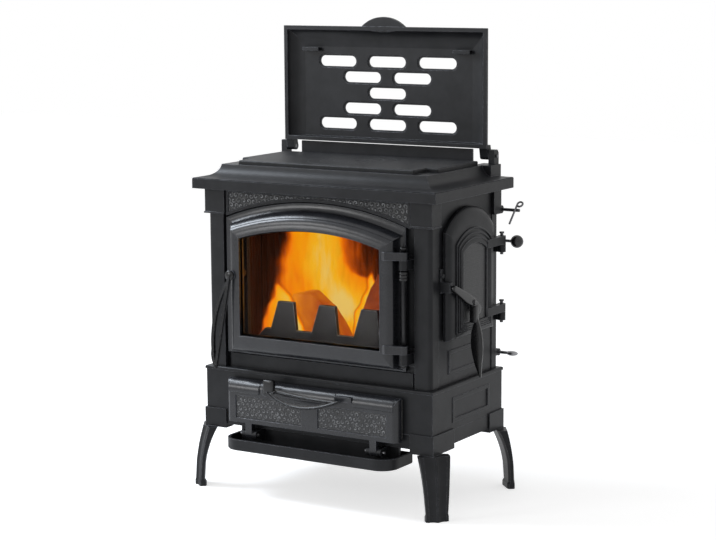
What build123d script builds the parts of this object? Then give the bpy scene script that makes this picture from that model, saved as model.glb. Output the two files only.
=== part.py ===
from build123d import *
from math import cos, radians, sin, sqrt
import os

# Cast iron wood stove, millimetres.
# X to the right seen from the front, Y to the back, Z up, origin on the floor under the middle of the body.
# Rest pose: doors shut, latch handles hanging, cooking lid standing open.

# Overall sizes
width = 690.0
depth = 388.0
half_width = width / 2
half_depth = depth / 2

# Levels of the body, from the floor
foot_top = 12.0
skirt_bottom = 162.0
base_top = 197.0
plinth_top = 298.0
ring_top = 306.0
shaft_top = 690.0
cap_ring_top = 694.0
cornice_bottom = 752.0
fascia_top = 778.0
cornice_top = 810.0
hotplate_top = 820.0

# Insets of the outer faces behind the cornice edge
plinth_inset = 20.0
ring_inset = 17.5
shaft_inset = 28.0
capital_inset = 22.0
cove_inset = 53.0

# Cast walls and fits
cast_wall = 10.0
column_wall = 16.0
door_wall = 8.0
panel_wall = 10.0
running_fit = 0.05
seat_gap = 0.3
joint_gap = 0.5

# Faces that several pieces share
plinth_x = half_width - plinth_inset
plinth_y = half_depth - plinth_inset
shaft_x = half_width - shaft_inset
shaft_y = half_depth - shaft_inset
inner_x = shaft_x - column_wall
inner_y = shaft_y - column_wall
column_inner_edge = shaft_x - 45.0
front_column_side = 37.0
rear_column_side = 31.0
side_panel_front = -(shaft_y - front_column_side)
side_panel_back = shaft_y - rear_column_side
side_face_x = 315.0

# Quarter curves are built through these angles
quarter_steps = [radians(angle) for angle in (0, 30, 60, 90)]


def box_between(low, high, mode=Mode.ADD):
    """Box from its lowest corner to its highest corner."""
    size = [b - a for a, b in zip(low, high)]
    with Locations(tuple(low)):
        Box(*size, align=(Align.MIN, Align.MIN, Align.MIN), mode=mode)


def upright_rectangle(plane, left, right, bottom, top):
    """Rectangle on a plane, given by its sides."""
    with BuildSketch(plane) as face:
        with Locations(((left + right) / 2, (bottom + top) / 2)):
            Rectangle(right - left, top - bottom)
    return face.sketch


def arched_face(plane, left, right, bottom, crown, radius):
    """Face with a level foot, upright sides and an arch whose crown stands over x = 0 of the plane."""
    centre = crown - radius
    left_spring = centre + sqrt(radius**2 - left**2)
    right_spring = centre + sqrt(radius**2 - right**2)
    with BuildSketch(plane) as face:
        with BuildLine():
            Polyline((left, left_spring), (left, bottom), (right, bottom), (right, right_spring))
            ThreePointArc((right, right_spring), (0, crown), (left, left_spring))
        make_face()
    return face.sketch


def front_plane(forward):
    """Plane square to Y, its normal to the front, at this distance before the middle of the body."""
    return Plane.XZ.offset(forward)


def leaf_loop(plane, length, belly, loop_width, bar, thickness):
    """Leaf-shaped ring that hangs from the plane's origin, its outer side bowed out by belly."""
    foot = belly - loop_width
    with BuildSketch(plane) as leaf:
        with BuildLine():
            ThreePointArc((0, 0), (-0.8 * belly, -0.42 * length), (-belly, -0.9 * length))
            ThreePointArc((-belly, -0.9 * length), (-belly + loop_width / 2, -length), (-foot, -0.9 * length))
            ThreePointArc((-foot, -0.9 * length), (-0.8 * foot + 0.12 * loop_width, -0.42 * length), (0, 0))
        make_face()
        offset(amount=-bar, mode=Mode.SUBTRACT)
    extrude(leaf.sketch, amount=thickness)


def save(piece, name):
    """Label a finished piece and write it under its name."""
    piece.part.label = name
    export_step(piece.part, f"parts/{name}.step")


os.makedirs("parts", exist_ok=True)

# Base plate: inverted pan with a hanging skirt, corner bosses for the leg bolts and an apron down to the tray
bolt_x = half_width - 47.0
bolt_y = half_depth - 47.0
bolt_radius = 5.0
boss_radius = 14.0
base_floor = base_top - cast_wall
apron_half = 228.0
apron_forward = plinth_y - cast_wall
tray_bottom = 114.0
tray_wall = 6.0
with BuildPart() as base_plate:
    box_between((-plinth_x, -plinth_y, skirt_bottom), (plinth_x, plinth_y, base_top))
    box_between(
        (-plinth_x + cast_wall, -plinth_y + cast_wall, skirt_bottom),
        (plinth_x - cast_wall, plinth_y - cast_wall, base_floor),
        mode=Mode.SUBTRACT,
    )
    with BuildSketch(Plane.XY.offset(skirt_bottom)):
        with GridLocations(2 * bolt_x, 2 * bolt_y, 2, 2):
            Circle(boss_radius)
    extrude(amount=base_floor - skirt_bottom)
    with BuildSketch(Plane.XY.offset(skirt_bottom)):
        with GridLocations(2 * bolt_x, 2 * bolt_y, 2, 2):
            Circle(bolt_radius)
    extrude(amount=base_floor - skirt_bottom - 4, mode=Mode.SUBTRACT)
    box_between(
        (-apron_half, -apron_forward, tray_bottom + tray_wall), (apron_half, -apron_forward + 8, base_floor)
    )
save(base_plate, "base_plate")

# Cabriole legs: fluted chevron section swept out to the foot, under a collar that wraps the base corner
collar_top = 200.0
collar_proud = 4.0
collar_front_width = 64.0
collar_side_front_leg = 103.0
collar_side_rear_leg = 74.0
flange_bottom = 152.0
foot_x = 343.0
foot_y = 185.0
leg_sections = (
    # height, outer sweep towards the body, thickness, width
    (0.0, 0.0, 26.0, 56.0),
    (foot_top, 0.0, 26.0, 56.0),
    (foot_top + 6.0, 1.5, 21.0, 54.0),
    (60.0, 4.0, 21.0, 60.0),
    (110.0, 12.0, 25.0, 68.0),
    (flange_bottom, 23.0, 33.0, 76.0),
)
foot_reach = 13.0


def leg_section(height, sweep, thickness, section_width):
    """Chevron with a corner ridge and a flute on each side, square to the leg's diagonal."""
    outer = foot_reach - sweep
    inner = outer - thickness
    side = section_width / 2
    diagonal = Plane(
        origin=(foot_x, -foot_y, height), x_dir=(1, -1, 0), z_dir=(0, 0, 1)
    )
    with BuildSketch(diagonal) as section:
        with BuildLine():
            Polyline((outer - 1, side * 0.10), (outer, 0), (outer - 1, -side * 0.10))
            ThreePointArc(
                (outer - 1, -side * 0.10), (outer - 6.5, -side * 0.42), (outer - 6, -side * 0.76)
            )
            Polyline(
                (outer - 6, -side * 0.76),
                (outer - 9, -side),
                (inner + 4, -side),
                (inner, -side * 0.7),
                (inner, side * 0.7),
                (inner + 4, side),
                (outer - 9, side),
                (outer - 6, side * 0.76),
            )
            ThreePointArc(
                (outer - 6, side * 0.76), (outer - 6.5, side * 0.42), (outer - 1, side * 0.10)
            )
        make_face()
    return section.sketch


def build_leg(collar_side):
    """Front right leg with its collar; the other legs are mirror images."""
    collar_x = plinth_x + collar_proud
    collar_y = plinth_y + collar_proud
    with BuildPart() as leg:
        extrude(leg_section(*leg_sections[0]), amount=foot_top)
        loft([leg_section(*values) for values in leg_sections[1:4]], ruled=True)
        loft([leg_section(*values) for values in leg_sections[3:]])
        with BuildSketch(Plane.XY.offset(flange_bottom)):
            with BuildLine():
                Polyline(
                    (collar_x - collar_front_width, -collar_y),
                    (collar_x, -collar_y),
                    (collar_x, -collar_y + collar_side),
                    (collar_x - 26, -collar_y + collar_side),
                    (bolt_x - 24, -bolt_y + 24),
                    (collar_x - collar_front_width, -collar_y + 26),
                    close=True,
                )
            make_face()
        extrude(amount=skirt_bottom - flange_bottom)
        box_between(
            (collar_x - collar_front_width, -collar_y, skirt_bottom), (collar_x, -plinth_y, collar_top)
        )
        box_between(
            (plinth_x, -collar_y, skirt_bottom), (collar_x, -collar_y + collar_side, collar_top)
        )
        with BuildSketch(Plane.XY.offset(flange_bottom)):
            with Locations((bolt_x, -bolt_y)):
                Circle(bolt_radius + running_fit)
        extrude(amount=skirt_bottom - flange_bottom, mode=Mode.SUBTRACT)
    return leg.part


front_leg = build_leg(collar_side_front_leg)
rear_leg = mirror(build_leg(collar_side_rear_leg), about=Plane.XZ)
leg_shapes = {
    "leg_front_right": front_leg,
    "leg_front_left": mirror(front_leg, about=Plane.YZ),
    "leg_rear_right": rear_leg,
    "leg_rear_left": mirror(rear_leg, about=Plane.YZ),
}
for leg_name, leg_shape in leg_shapes.items():
    with BuildPart() as leg_piece:
        add(leg_shape)
    save(leg_piece, leg_name)

# Leg bolts: hexagon heads under the leg flanges, shanks up into the base bosses
bolt_head_height = 7.0
with BuildPart() as leg_bolts:
    with BuildSketch(Plane.XY.offset(flange_bottom - bolt_head_height)):
        with GridLocations(2 * bolt_x, 2 * bolt_y, 2, 2):
            RegularPolygon(8.5, 6)
    extrude(amount=bolt_head_height)
    with BuildSketch(Plane.XY.offset(flange_bottom)):
        with GridLocations(2 * bolt_x, 2 * bolt_y, 2, 2):
            Circle(bolt_radius)
    extrude(amount=base_floor - 5 - flange_bottom)
save(leg_bolts, "leg_bolts")

# Plinth: open block round the ash drawer, with a raised side panel and the ring moulding on top
ash_opening_half = 206.0
ash_opening_bottom = base_top
ash_opening_top = 274.0
plinth_panel_front = -78.0
plinth_panel_back = 107.0
hearth_ledge = 16.0
ring_x = half_width - ring_inset
ring_y = half_depth - ring_inset
with BuildPart() as plinth:
    box_between((-plinth_x, -plinth_y, base_top), (plinth_x, plinth_y, plinth_top))
    box_between((-ring_x, -ring_y, plinth_top), (ring_x, ring_y, ring_top))
    fillet(plinth.faces().sort_by(Axis.Z)[-1].edges(), radius=3.5)
    box_between(
        (-plinth_x + cast_wall, -plinth_y + cast_wall, base_top),
        (plinth_x - cast_wall, plinth_y - cast_wall, plinth_top),
        mode=Mode.SUBTRACT,
    )
    box_between(
        (-inner_x + hearth_ledge, -inner_y + hearth_ledge, plinth_top),
        (inner_x - hearth_ledge, inner_y - hearth_ledge, ring_top),
        mode=Mode.SUBTRACT,
    )
    extrude(
        upright_rectangle(
            front_plane(plinth_y), -ash_opening_half, ash_opening_half, ash_opening_bottom, ash_opening_top
        ),
        amount=-cast_wall,
        mode=Mode.SUBTRACT,
    )
    for side in (-1, 1):
        box_between(
            (side * plinth_x - 1.5, plinth_panel_front, 214.0), (side * plinth_x + 1.5, plinth_panel_back, 275.0)
        )
        box_between(
            (side * plinth_x - 1.5, plinth_panel_front + 9, 223.0),
            (side * plinth_x + 1.5, plinth_panel_back - 9, 266.0),
            mode=Mode.SUBTRACT,
        )
save(plinth, "plinth")

# Corner columns: L-section shaft with a rounded arris, a cap ring and a square capital
column_arris = 10.0
capital_inner_edge = 265.0


def corner_section(plane, inset, inner_edge, side_width):
    """L-shaped section at the front right corner, with its outer faces at this inset."""
    outer_x = half_width - inset
    outer_y = half_depth - inset
    side_end = -(shaft_y - side_width)
    with BuildSketch(plane) as section:
        with BuildLine():
            Polyline(
                (inner_edge, -outer_y),
                (outer_x, -outer_y),
                (outer_x, side_end),
                (inner_x, side_end),
                (inner_x, -inner_y),
                (inner_edge, -inner_y),
                close=True,
            )
        make_face()
        if inset == shaft_inset:
            fillet(section.vertices().sort_by(Axis.X)[-2:].sort_by(Axis.Y)[0], radius=column_arris)
    return section.sketch


def build_column(side_width):
    """Front right column; the others are mirror images."""
    with BuildPart() as column:
        extrude(
            corner_section(Plane.XY.offset(ring_top), shaft_inset, column_inner_edge, side_width),
            amount=shaft_top - ring_top,
        )
        extrude(
            corner_section(Plane.XY.offset(shaft_top), plinth_inset, capital_inner_edge, side_width),
            amount=cap_ring_top - shaft_top,
        )
        extrude(
            corner_section(Plane.XY.offset(cap_ring_top), capital_inset, capital_inner_edge, side_width),
            amount=cornice_bottom - cap_ring_top,
        )
    return column.part


front_column = build_column(front_column_side)
rear_column = mirror(build_column(rear_column_side), about=Plane.XZ)
column_shapes = {
    "column_front_right": front_column,
    "column_front_left": mirror(front_column, about=Plane.YZ),
    "column_rear_right": rear_column,
    "column_rear_left": mirror(rear_column, about=Plane.YZ),
}
for column_name, column_shape in column_shapes.items():
    with BuildPart() as column_piece:
        add(column_shape)
    save(column_piece, column_name)

# Main door sizes, which the front frame and frieze follow
glass_half = 200.0
glass_bottom = 397.0
glass_crown = 668.0
glass_arch = 682.0
face_forward = 206.0
moulding_forward = 195.0
flange_forward = 162.0
door_back = 154.0
frame_forward = 150.0
moulding_side = 31.0
moulding_sill = 40.0
flange_left = 35.0
flange_right = 15.0
flange_top = 31.0
flange_sill = 12.0
door_reveal = 4.0
frame_opening_half = 213.0
frame_opening_bottom = 386.0
frame_opening_crown = 683.0


def door_arch(crown):
    """Radius of a door arch with this crown, all arches having one centre."""
    return glass_arch + crown - glass_crown


flange_crown = glass_crown + moulding_side + flange_top
flange_bottom_edge = glass_bottom - moulding_sill - flange_sill
moulding_half = glass_half + moulding_side

# Front frame: seat plate behind the door, the frieze over the arch and the sill under the door
frieze_half = 262.0
frieze_forward = 168.0
frieze_border = 6.0
frieze_crown = flange_crown + door_reveal
frieze_spring = frieze_crown - door_arch(frieze_crown) + sqrt(door_arch(frieze_crown) ** 2 - frieze_half**2)
with BuildPart() as front_frame:
    box_between((-inner_x, -frame_forward, ring_top), (inner_x, -frame_forward + panel_wall, cornice_bottom))
    box_between((-frieze_half, -frieze_forward, frieze_spring - 20), (frieze_half, -frame_forward, cornice_bottom))
    box_between(
        (-frieze_half, -frame_forward - 6, ring_top),
        (frieze_half, -frame_forward, flange_bottom_edge - door_reveal),
    )
    extrude(
        arched_face(
            front_plane(frame_forward),
            -frieze_half - 1,
            frieze_half + 1,
            flange_bottom_edge,
            frieze_crown,
            door_arch(frieze_crown),
        ),
        amount=frieze_forward - frame_forward + 1,
        mode=Mode.SUBTRACT,
    )
    with BuildSketch(front_plane(frieze_forward)) as spandrels:
        with BuildLine():
            Polyline(
                (frieze_half, frieze_spring),
                (frieze_half, cornice_bottom),
                (-frieze_half, cornice_bottom),
                (-frieze_half, frieze_spring),
            )
            ThreePointArc((-frieze_half, frieze_spring), (0, frieze_crown), (frieze_half, frieze_spring))
        make_face()
        offset(amount=-frieze_border, kind=Kind.INTERSECTION, mode=Mode.REPLACE)
    extrude(amount=-2.0, mode=Mode.SUBTRACT)
    extrude(
        arched_face(
            front_plane(frame_forward),
            -frame_opening_half,
            frame_opening_half,
            frame_opening_bottom,
            frame_opening_crown,
            door_arch(frame_opening_crown),
        ),
        amount=-panel_wall,
        mode=Mode.SUBTRACT,
    )
save(front_frame, "front_frame")

# Main door: cove from the flange out to a rounded moulding, mitred at the corners, hollow behind
pane_thickness = 4.0
pane_lip = 8.0
pane_forward = 198.0
retainer_depth = 5.0
pocket_half = 222.0
pocket_bottom = 371.0
pocket_crown = 689.0
hinge_x = 254.0
hinge_forward = 186.0
rod_radius = 5.5
knuckle_radius = 11.0
upper_strap = (615.0, 634.0)
lower_strap = (392.0, 412.0)
latch_x = -226.0
latch_z = 545.0
latch_forward = 206.0
latch_radius = 5.0


def moulding_level(out, forward):
    """Door outline at a share of the moulding's width outside the glass edge."""
    side = glass_half + moulding_side * out
    crown = glass_crown + moulding_side * out
    return arched_face(
        front_plane(forward), -side, side, glass_bottom - moulding_sill * out, crown, door_arch(crown)
    )


def cove_level(out, forward):
    """Door outline at a share of the way from the moulding out to the flange edge."""
    crown = glass_crown + moulding_side + (flange_top - 4) * out
    return arched_face(
        front_plane(forward),
        -moulding_half - (flange_left - 4) * out,
        moulding_half + (flange_right - 2) * out,
        glass_bottom - moulding_sill - (flange_sill - 2) * out,
        crown,
        door_arch(crown),
    )


with BuildPart() as main_door:
    extrude(
        arched_face(
            front_plane(door_back),
            -moulding_half - flange_left,
            moulding_half + flange_right,
            flange_bottom_edge,
            flange_crown,
            door_arch(flange_crown),
        ),
        amount=flange_forward - door_back,
    )
    loft(
        [
            cove_level(1 - cos(step), moulding_forward - (moulding_forward - flange_forward) * sin(step))
            for step in quarter_steps
        ]
    )
    loft(
        [
            moulding_level(sin(step), moulding_forward + (face_forward - moulding_forward) * cos(step))
            for step in quarter_steps
        ]
    )
    extrude(
        arched_face(
            front_plane(door_back),
            -pocket_half,
            pocket_half,
            pocket_bottom,
            pocket_crown,
            door_arch(pocket_crown),
        ),
        amount=pane_forward - pane_thickness - retainer_depth - door_back,
        mode=Mode.SUBTRACT,
    )
    extrude(
        arched_face(
            front_plane(pane_forward - pane_thickness - retainer_depth),
            -glass_half - pane_lip,
            glass_half + pane_lip,
            glass_bottom - pane_lip,
            glass_crown + pane_lip,
            door_arch(glass_crown + pane_lip),
        ),
        amount=pane_thickness + retainer_depth,
        mode=Mode.SUBTRACT,
    )
    extrude(moulding_level(0, pane_forward), amount=face_forward - pane_forward, mode=Mode.SUBTRACT)
    for low, high in (upper_strap, lower_strap):
        with BuildSketch(Plane.XY.offset(low)):
            with BuildLine():
                Polyline(
                    (glass_half + 8, -face_forward - 2),
                    (glass_half + 16, -face_forward - 5),
                    (hinge_x, -hinge_forward - knuckle_radius),
                    (hinge_x, -hinge_forward),
                    (moulding_half - 4, -hinge_forward),
                    (glass_half + 12, -face_forward + 8),
                    close=True,
                )
            make_face()
            with Locations((hinge_x, -hinge_forward)):
                Circle(knuckle_radius)
        extrude(amount=high - low)
        with BuildSketch(Plane.XY.offset(low)):
            with Locations((hinge_x, -hinge_forward)):
                Circle(rod_radius + running_fit)
        extrude(amount=high - low, mode=Mode.SUBTRACT)
    with BuildSketch(front_plane(door_back)):
        with Locations((latch_x, latch_z)):
            Circle(12)
    extrude(amount=latch_forward - door_back)
    with BuildSketch(front_plane(door_back)):
        with Locations((latch_x, latch_z)):
            Circle(latch_radius + running_fit)
    extrude(amount=latch_forward - door_back, mode=Mode.SUBTRACT)
save(main_door, "main_door")

# Glass pane and the frame that holds it from behind
with BuildPart() as door_glass:
    extrude(
        arched_face(
            front_plane(pane_forward - pane_thickness),
            -glass_half - pane_lip + joint_gap,
            glass_half + pane_lip - joint_gap,
            glass_bottom - pane_lip + joint_gap,
            glass_crown + pane_lip - joint_gap,
            door_arch(glass_crown + pane_lip - joint_gap),
        ),
        amount=pane_thickness,
    )
save(door_glass, "door_glass")

with BuildPart() as glass_retainer:
    extrude(
        arched_face(
            front_plane(pane_forward - pane_thickness - retainer_depth),
            -glass_half - pane_lip + joint_gap,
            glass_half + pane_lip - joint_gap,
            glass_bottom - pane_lip + joint_gap,
            glass_crown + pane_lip - joint_gap,
            door_arch(glass_crown + pane_lip - joint_gap),
        ),
        amount=retainer_depth,
    )
    extrude(
        moulding_level(-0.1, pane_forward - pane_thickness - retainer_depth),
        amount=retainer_depth,
        mode=Mode.SUBTRACT,
    )
save(glass_retainer, "glass_retainer")

# Rope gasket round the back of the main door, pressed on the front frame
gasket_width = 8.0
gasket_half = 241.0
gasket_bottom = 350.0
gasket_crown = 708.0
with BuildPart() as door_gasket:
    extrude(
        arched_face(
            front_plane(frame_forward + seat_gap),
            -gasket_half,
            gasket_half,
            gasket_bottom,
            gasket_crown,
            door_arch(gasket_crown),
        ),
        amount=door_back - frame_forward - seat_gap,
    )
    extrude(
        arched_face(
            front_plane(frame_forward),
            -gasket_half + gasket_width,
            gasket_half - gasket_width,
            gasket_bottom + gasket_width,
            gasket_crown - gasket_width,
            door_arch(gasket_crown - gasket_width),
        ),
        amount=door_back - frame_forward,
        mode=Mode.SUBTRACT,
    )
save(door_gasket, "door_gasket")

# Main hinge: bright rod through two ears on the front frame, the door's knuckles standing on the ears
rod_bottom = 360.0
rod_top = 648.0
upper_ear = (592.0, upper_strap[0] - seat_gap)
lower_ear = (366.0, lower_strap[0] - seat_gap)
ear_left = 251.0
ear_right = 269.0
with BuildPart() as hinge_rod:
    with BuildSketch(Plane.XY.offset(rod_bottom)):
        with Locations((hinge_x, -hinge_forward)):
            Circle(rod_radius)
    extrude(amount=rod_top - rod_bottom)
    with BuildSketch(Plane.XY.offset(upper_strap[1] + 1)):
        with Locations((hinge_x, -hinge_forward)):
            Circle(rod_radius + 2.5)
    extrude(amount=8)
    with BuildSketch(Plane.XY.offset(rod_bottom)):
        with Locations((hinge_x, -hinge_forward)):
            Circle(rod_radius + 2.5)
    extrude(amount=lower_ear[0] - rod_bottom)
save(hinge_rod, "hinge_rod")

with BuildPart() as hinge_ears:
    for low, high in (upper_ear, lower_ear):
        with BuildSketch(Plane.XY.offset(low)):
            with Locations((hinge_x, -hinge_forward)):
                Circle(knuckle_radius)
            with BuildLine():
                Polyline(
                    (hinge_x - 1, -hinge_forward),
                    (hinge_x + knuckle_radius, -hinge_forward),
                    (ear_right - 5, -frame_forward),
                    (ear_left, -frame_forward),
                    close=True,
                )
            make_face()
            with Locations((hinge_x, -hinge_forward)):
                Circle(rod_radius + running_fit, mode=Mode.SUBTRACT)
        extrude(amount=high - low)
        box_between((ear_left, -frame_forward - 5, low - 9), (ear_right, -frame_forward, high + 9))
save(hinge_ears, "hinge_ears")

# Main door handle: leaf loop on a hub, with the latch shaft through the door and a short cam behind it
handle_thickness = 10.0
hub_radius = 11.0
handle_forward = latch_forward + seat_gap
main_loop_length = 250.0
main_loop_belly = 60.0
main_loop_width = 44.0
loop_bar = 9.0
cam_reach = 20.0
with BuildPart() as main_handle:
    leaf_loop(
        Plane(origin=(latch_x, -handle_forward, latch_z), x_dir=(1, 0, 0), z_dir=(0, -1, 0)),
        main_loop_length,
        main_loop_belly,
        main_loop_width,
        loop_bar,
        handle_thickness,
    )
    with BuildSketch(front_plane(handle_forward)):
        with Locations((latch_x, latch_z - 4)):
            Circle(hub_radius)
    extrude(amount=handle_thickness + 2)
    fillet(main_handle.faces().sort_by(Axis.Y)[0].edges(), radius=1.5)
    with BuildSketch(front_plane(frame_forward + 0.5)):
        with Locations((latch_x, latch_z)):
            Circle(latch_radius)
    extrude(amount=handle_forward - frame_forward)
save(main_handle, "main_handle")

# Ash door: shell with quarter-round top and sides mitred into each other, and two sunk panels
ash_face_forward = 205.0
ash_back = 183.0
ash_face_half = 232.0
ash_edge_half = 246.5
ash_bottom = 179.0
ash_top = 285.0
ash_round_top = 22.0
ash_panel_inner = 23.0
ash_panel_outer = 217.0
ash_panel_bottom = 190.0
ash_panel_top = 247.0
ash_panel_depth = 3.0
ash_hinge_forward = 195.0
ash_hinge_z = 150.0
ash_pin_radius = 4.0
ash_knuckle_radius = 10.0
ash_strap = (170.0, 188.0)
ash_latch_x = -126.0
ash_latch_z = 264.0
rest_left = 75.0
rest_right = 122.0
rest_bottom = 264.0
rest_height = 13.0
rest_proud = 4.5


def ash_level(step):
    """Ash door outline at an angle of its quarter-round."""
    half = ash_face_half + (ash_edge_half - ash_face_half) * sin(step)
    top = ash_top - ash_round_top * (1 - sin(step))
    forward = ash_back + (ash_face_forward - ash_back) * cos(step)
    return upright_rectangle(front_plane(forward), -half, half, ash_bottom, top)


with BuildPart() as ash_door:
    loft([ash_level(step) for step in quarter_steps])
    box_between(
        (-ash_edge_half + door_wall, -ash_face_forward + door_wall + ash_panel_depth, ash_bottom + door_wall),
        (ash_edge_half - door_wall, -ash_back, ash_top - door_wall),
        mode=Mode.SUBTRACT,
    )
    for side in (-1, 1):
        left, right = sorted((side * ash_panel_inner, side * ash_panel_outer))
        extrude(
            upright_rectangle(front_plane(ash_face_forward), left, right, ash_panel_bottom, ash_panel_top),
            amount=-ash_panel_depth,
            mode=Mode.SUBTRACT,
        )
        strap_left = min(side * ash_strap[0], side * ash_strap[1])
        with BuildSketch(Plane.YZ.offset(strap_left)):
            with BuildLine():
                Polyline(
                    (-ash_face_forward, ash_bottom + 4),
                    (-ash_hinge_forward - ash_knuckle_radius, ash_hinge_z),
                    (-ash_hinge_forward + ash_knuckle_radius, ash_hinge_z),
                    (-ash_hinge_forward + 4, ash_bottom + 4),
                    close=True,
                )
            make_face()
            with Locations((-ash_hinge_forward, ash_hinge_z)):
                Circle(ash_knuckle_radius)
        extrude(amount=ash_strap[1] - ash_strap[0])
        with BuildSketch(Plane.YZ.offset(strap_left)):
            with Locations((-ash_hinge_forward, ash_hinge_z)):
                Circle(ash_pin_radius + running_fit)
        extrude(amount=ash_strap[1] - ash_strap[0], mode=Mode.SUBTRACT)
    with BuildSketch(front_plane(ash_back + 6)):
        with Locations((ash_latch_x, ash_latch_z)):
            Circle(11)
    extrude(amount=ash_face_forward + 3 - ash_back - 6)
    with BuildSketch(front_plane(ash_back)):
        with Locations((ash_latch_x, ash_latch_z)):
            Circle(latch_radius + running_fit)
    extrude(amount=ash_face_forward + 3 - ash_back, mode=Mode.SUBTRACT)
    box_between(
        (rest_left, -ash_face_forward - rest_proud, rest_bottom),
        (rest_right, -ash_back - door_wall, rest_bottom + rest_height),
    )
save(ash_door, "ash_door")

# Gasket between the ash door's rim and the plinth
with BuildPart() as ash_gasket:
    extrude(
        upright_rectangle(
            front_plane(plinth_y + seat_gap),
            -ash_edge_half + 1,
            ash_edge_half - 1,
            ash_bottom + 1,
            ash_top - 1,
        ),
        amount=ash_back - plinth_y - seat_gap,
    )
    extrude(
        upright_rectangle(
            front_plane(plinth_y),
            -ash_edge_half + door_wall,
            ash_edge_half - door_wall,
            ash_bottom + door_wall,
            ash_top - door_wall,
        ),
        amount=ash_back - plinth_y,
        mode=Mode.SUBTRACT,
    )
save(ash_gasket, "ash_gasket")

# Ash door handle: leaf loop lying across the door and standing out from it, on a pin through its boss
ash_handle_tilt = 40.0
ash_loop_length = 216.0
ash_handle_forward = ash_face_forward + 3 + seat_gap
with BuildPart() as ash_handle:
    leaf_loop(
        Plane(
            origin=(ash_latch_x, -ash_handle_forward - 2, ash_latch_z),
            x_dir=(0, sin(radians(ash_handle_tilt)), cos(radians(ash_handle_tilt))),
            z_dir=(0, -cos(radians(ash_handle_tilt)), sin(radians(ash_handle_tilt))),
        ),
        ash_loop_length,
        44.0,
        40.0,
        8.0,
        8.0,
    )
    with BuildSketch(front_plane(ash_handle_forward)):
        with Locations((ash_latch_x, ash_latch_z)):
            Circle(hub_radius)
    extrude(amount=handle_thickness)
    with BuildSketch(front_plane(ash_back + 1)):
        with Locations((ash_latch_x, ash_latch_z)):
            Circle(latch_radius)
    extrude(amount=ash_handle_forward - ash_back - 1)
save(ash_handle, "ash_handle")

# Front tray under the apron, the lugs on the apron and the ash door's hinge pins
tray_half = 242.0
tray_front = 235.0
tray_back = 125.0
tray_top = 142.0
tray_corner = 45.0
with BuildPart() as ash_tray:
    with BuildSketch(Plane.XY.offset(tray_bottom)) as tray_outline:
        with Locations((0, -(tray_front + tray_back) / 2)):
            Rectangle(2 * tray_half, tray_front - tray_back)
        fillet(tray_outline.vertices().group_by(Axis.Y)[0], radius=tray_corner)
    extrude(amount=tray_top - tray_bottom)
    fillet(ash_tray.faces().sort_by(Axis.Z)[0].edges(), radius=4)
    with BuildSketch(Plane.XY.offset(tray_bottom + tray_wall)) as tray_inside:
        with Locations((0, -(tray_front + tray_back) / 2)):
            Rectangle(2 * (tray_half - tray_wall), tray_front - tray_back - 2 * tray_wall)
        fillet(tray_inside.vertices().group_by(Axis.Y)[0], radius=tray_corner - tray_wall)
    extrude(amount=tray_top - tray_bottom, mode=Mode.SUBTRACT)
save(ash_tray, "ash_tray")

lug_thickness = 11.0
lug_inner = ash_strap[0] - joint_gap - lug_thickness
lug_outer = ash_strap[1] + joint_gap + lug_thickness
lug_top = skirt_bottom - joint_gap
with BuildPart() as pin_lugs:
    for side in (-1, 1):
        for near, far in ((lug_inner, lug_inner + lug_thickness), (lug_outer - lug_thickness, lug_outer)):
            with BuildSketch(Plane.YZ.offset(min(side * near, side * far))):
                with BuildLine():
                    Polyline(
                        (-apron_forward, lug_top),
                        (-ash_hinge_forward, ash_hinge_z + ash_knuckle_radius),
                        (-ash_hinge_forward, ash_hinge_z - ash_knuckle_radius),
                        (-apron_forward, 130.0),
                        close=True,
                    )
                make_face()
                with Locations((-ash_hinge_forward, ash_hinge_z)):
                    Circle(ash_knuckle_radius)
                with Locations((-ash_hinge_forward, ash_hinge_z)):
                    Circle(ash_pin_radius + running_fit, mode=Mode.SUBTRACT)
            extrude(amount=lug_thickness)
        left, right = sorted((side * lug_inner, side * lug_outer))
        box_between((left, -apron_forward - 5, 130.0), (right, -apron_forward, lug_top))
save(pin_lugs, "pin_lugs")

pin_inner = lug_inner - 5
pin_outer = lug_outer + 8
with BuildPart() as ash_pins:
    for side in (-1, 1):
        with BuildSketch(Plane.YZ.offset(min(side * pin_inner, side * pin_outer))):
            with Locations((-ash_hinge_forward, ash_hinge_z)):
                Circle(ash_pin_radius)
        extrude(amount=pin_outer - pin_inner)
save(ash_pins, "ash_pins")

# Ash drawer on the base plate, behind the ash door, with a finger slot in its front
drawer_half = ash_opening_half - 4
drawer_front = plinth_y - 2
drawer_back = 140.0
drawer_top = ash_opening_top - 6
drawer_wall = 2.5
with BuildPart() as ash_drawer:
    box_between((-drawer_half, -drawer_front, base_top), (drawer_half, drawer_back, drawer_top))
    box_between(
        (-drawer_half + drawer_wall, -drawer_front + drawer_wall, base_top + drawer_wall),
        (drawer_half - drawer_wall, drawer_back - drawer_wall, drawer_top),
        mode=Mode.SUBTRACT,
    )
    with BuildSketch(front_plane(drawer_front)):
        with Locations((0, drawer_top - 22)):
            SlotOverall(90, 20)
    extrude(amount=-drawer_wall, mode=Mode.SUBTRACT)
save(ash_drawer, "ash_drawer")

# Side doorway and its arched door, whose relief the left side repeats
side_centre = 2.0
side_door_half = 115.0
side_door_bottom = 416.0
side_door_crown = 726.0
side_door_arch = 154.0
side_edge_x = 326.0
side_line_x = 338.0
side_rim_x = 343.0
side_line_in = 31.0
side_line_rise = 15.0
side_line_drop = 51.0
side_line_arch = 128.0
side_rim_half = 62.0
side_rim_bottom = 445.0
side_rim_crown = 644.0
side_rim_arch = 106.0
side_panel_rim = 5.0
side_panel_depth = 4.0
side_back_x = 319.0
side_pocket_half = 92.0
side_pocket_bottom = 440.0
side_pocket_crown = 690.0
side_pocket_arch = 128.0
side_pocket_x = 330.0
groove = 1.5
side_frame_x = side_face_x - panel_wall


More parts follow.
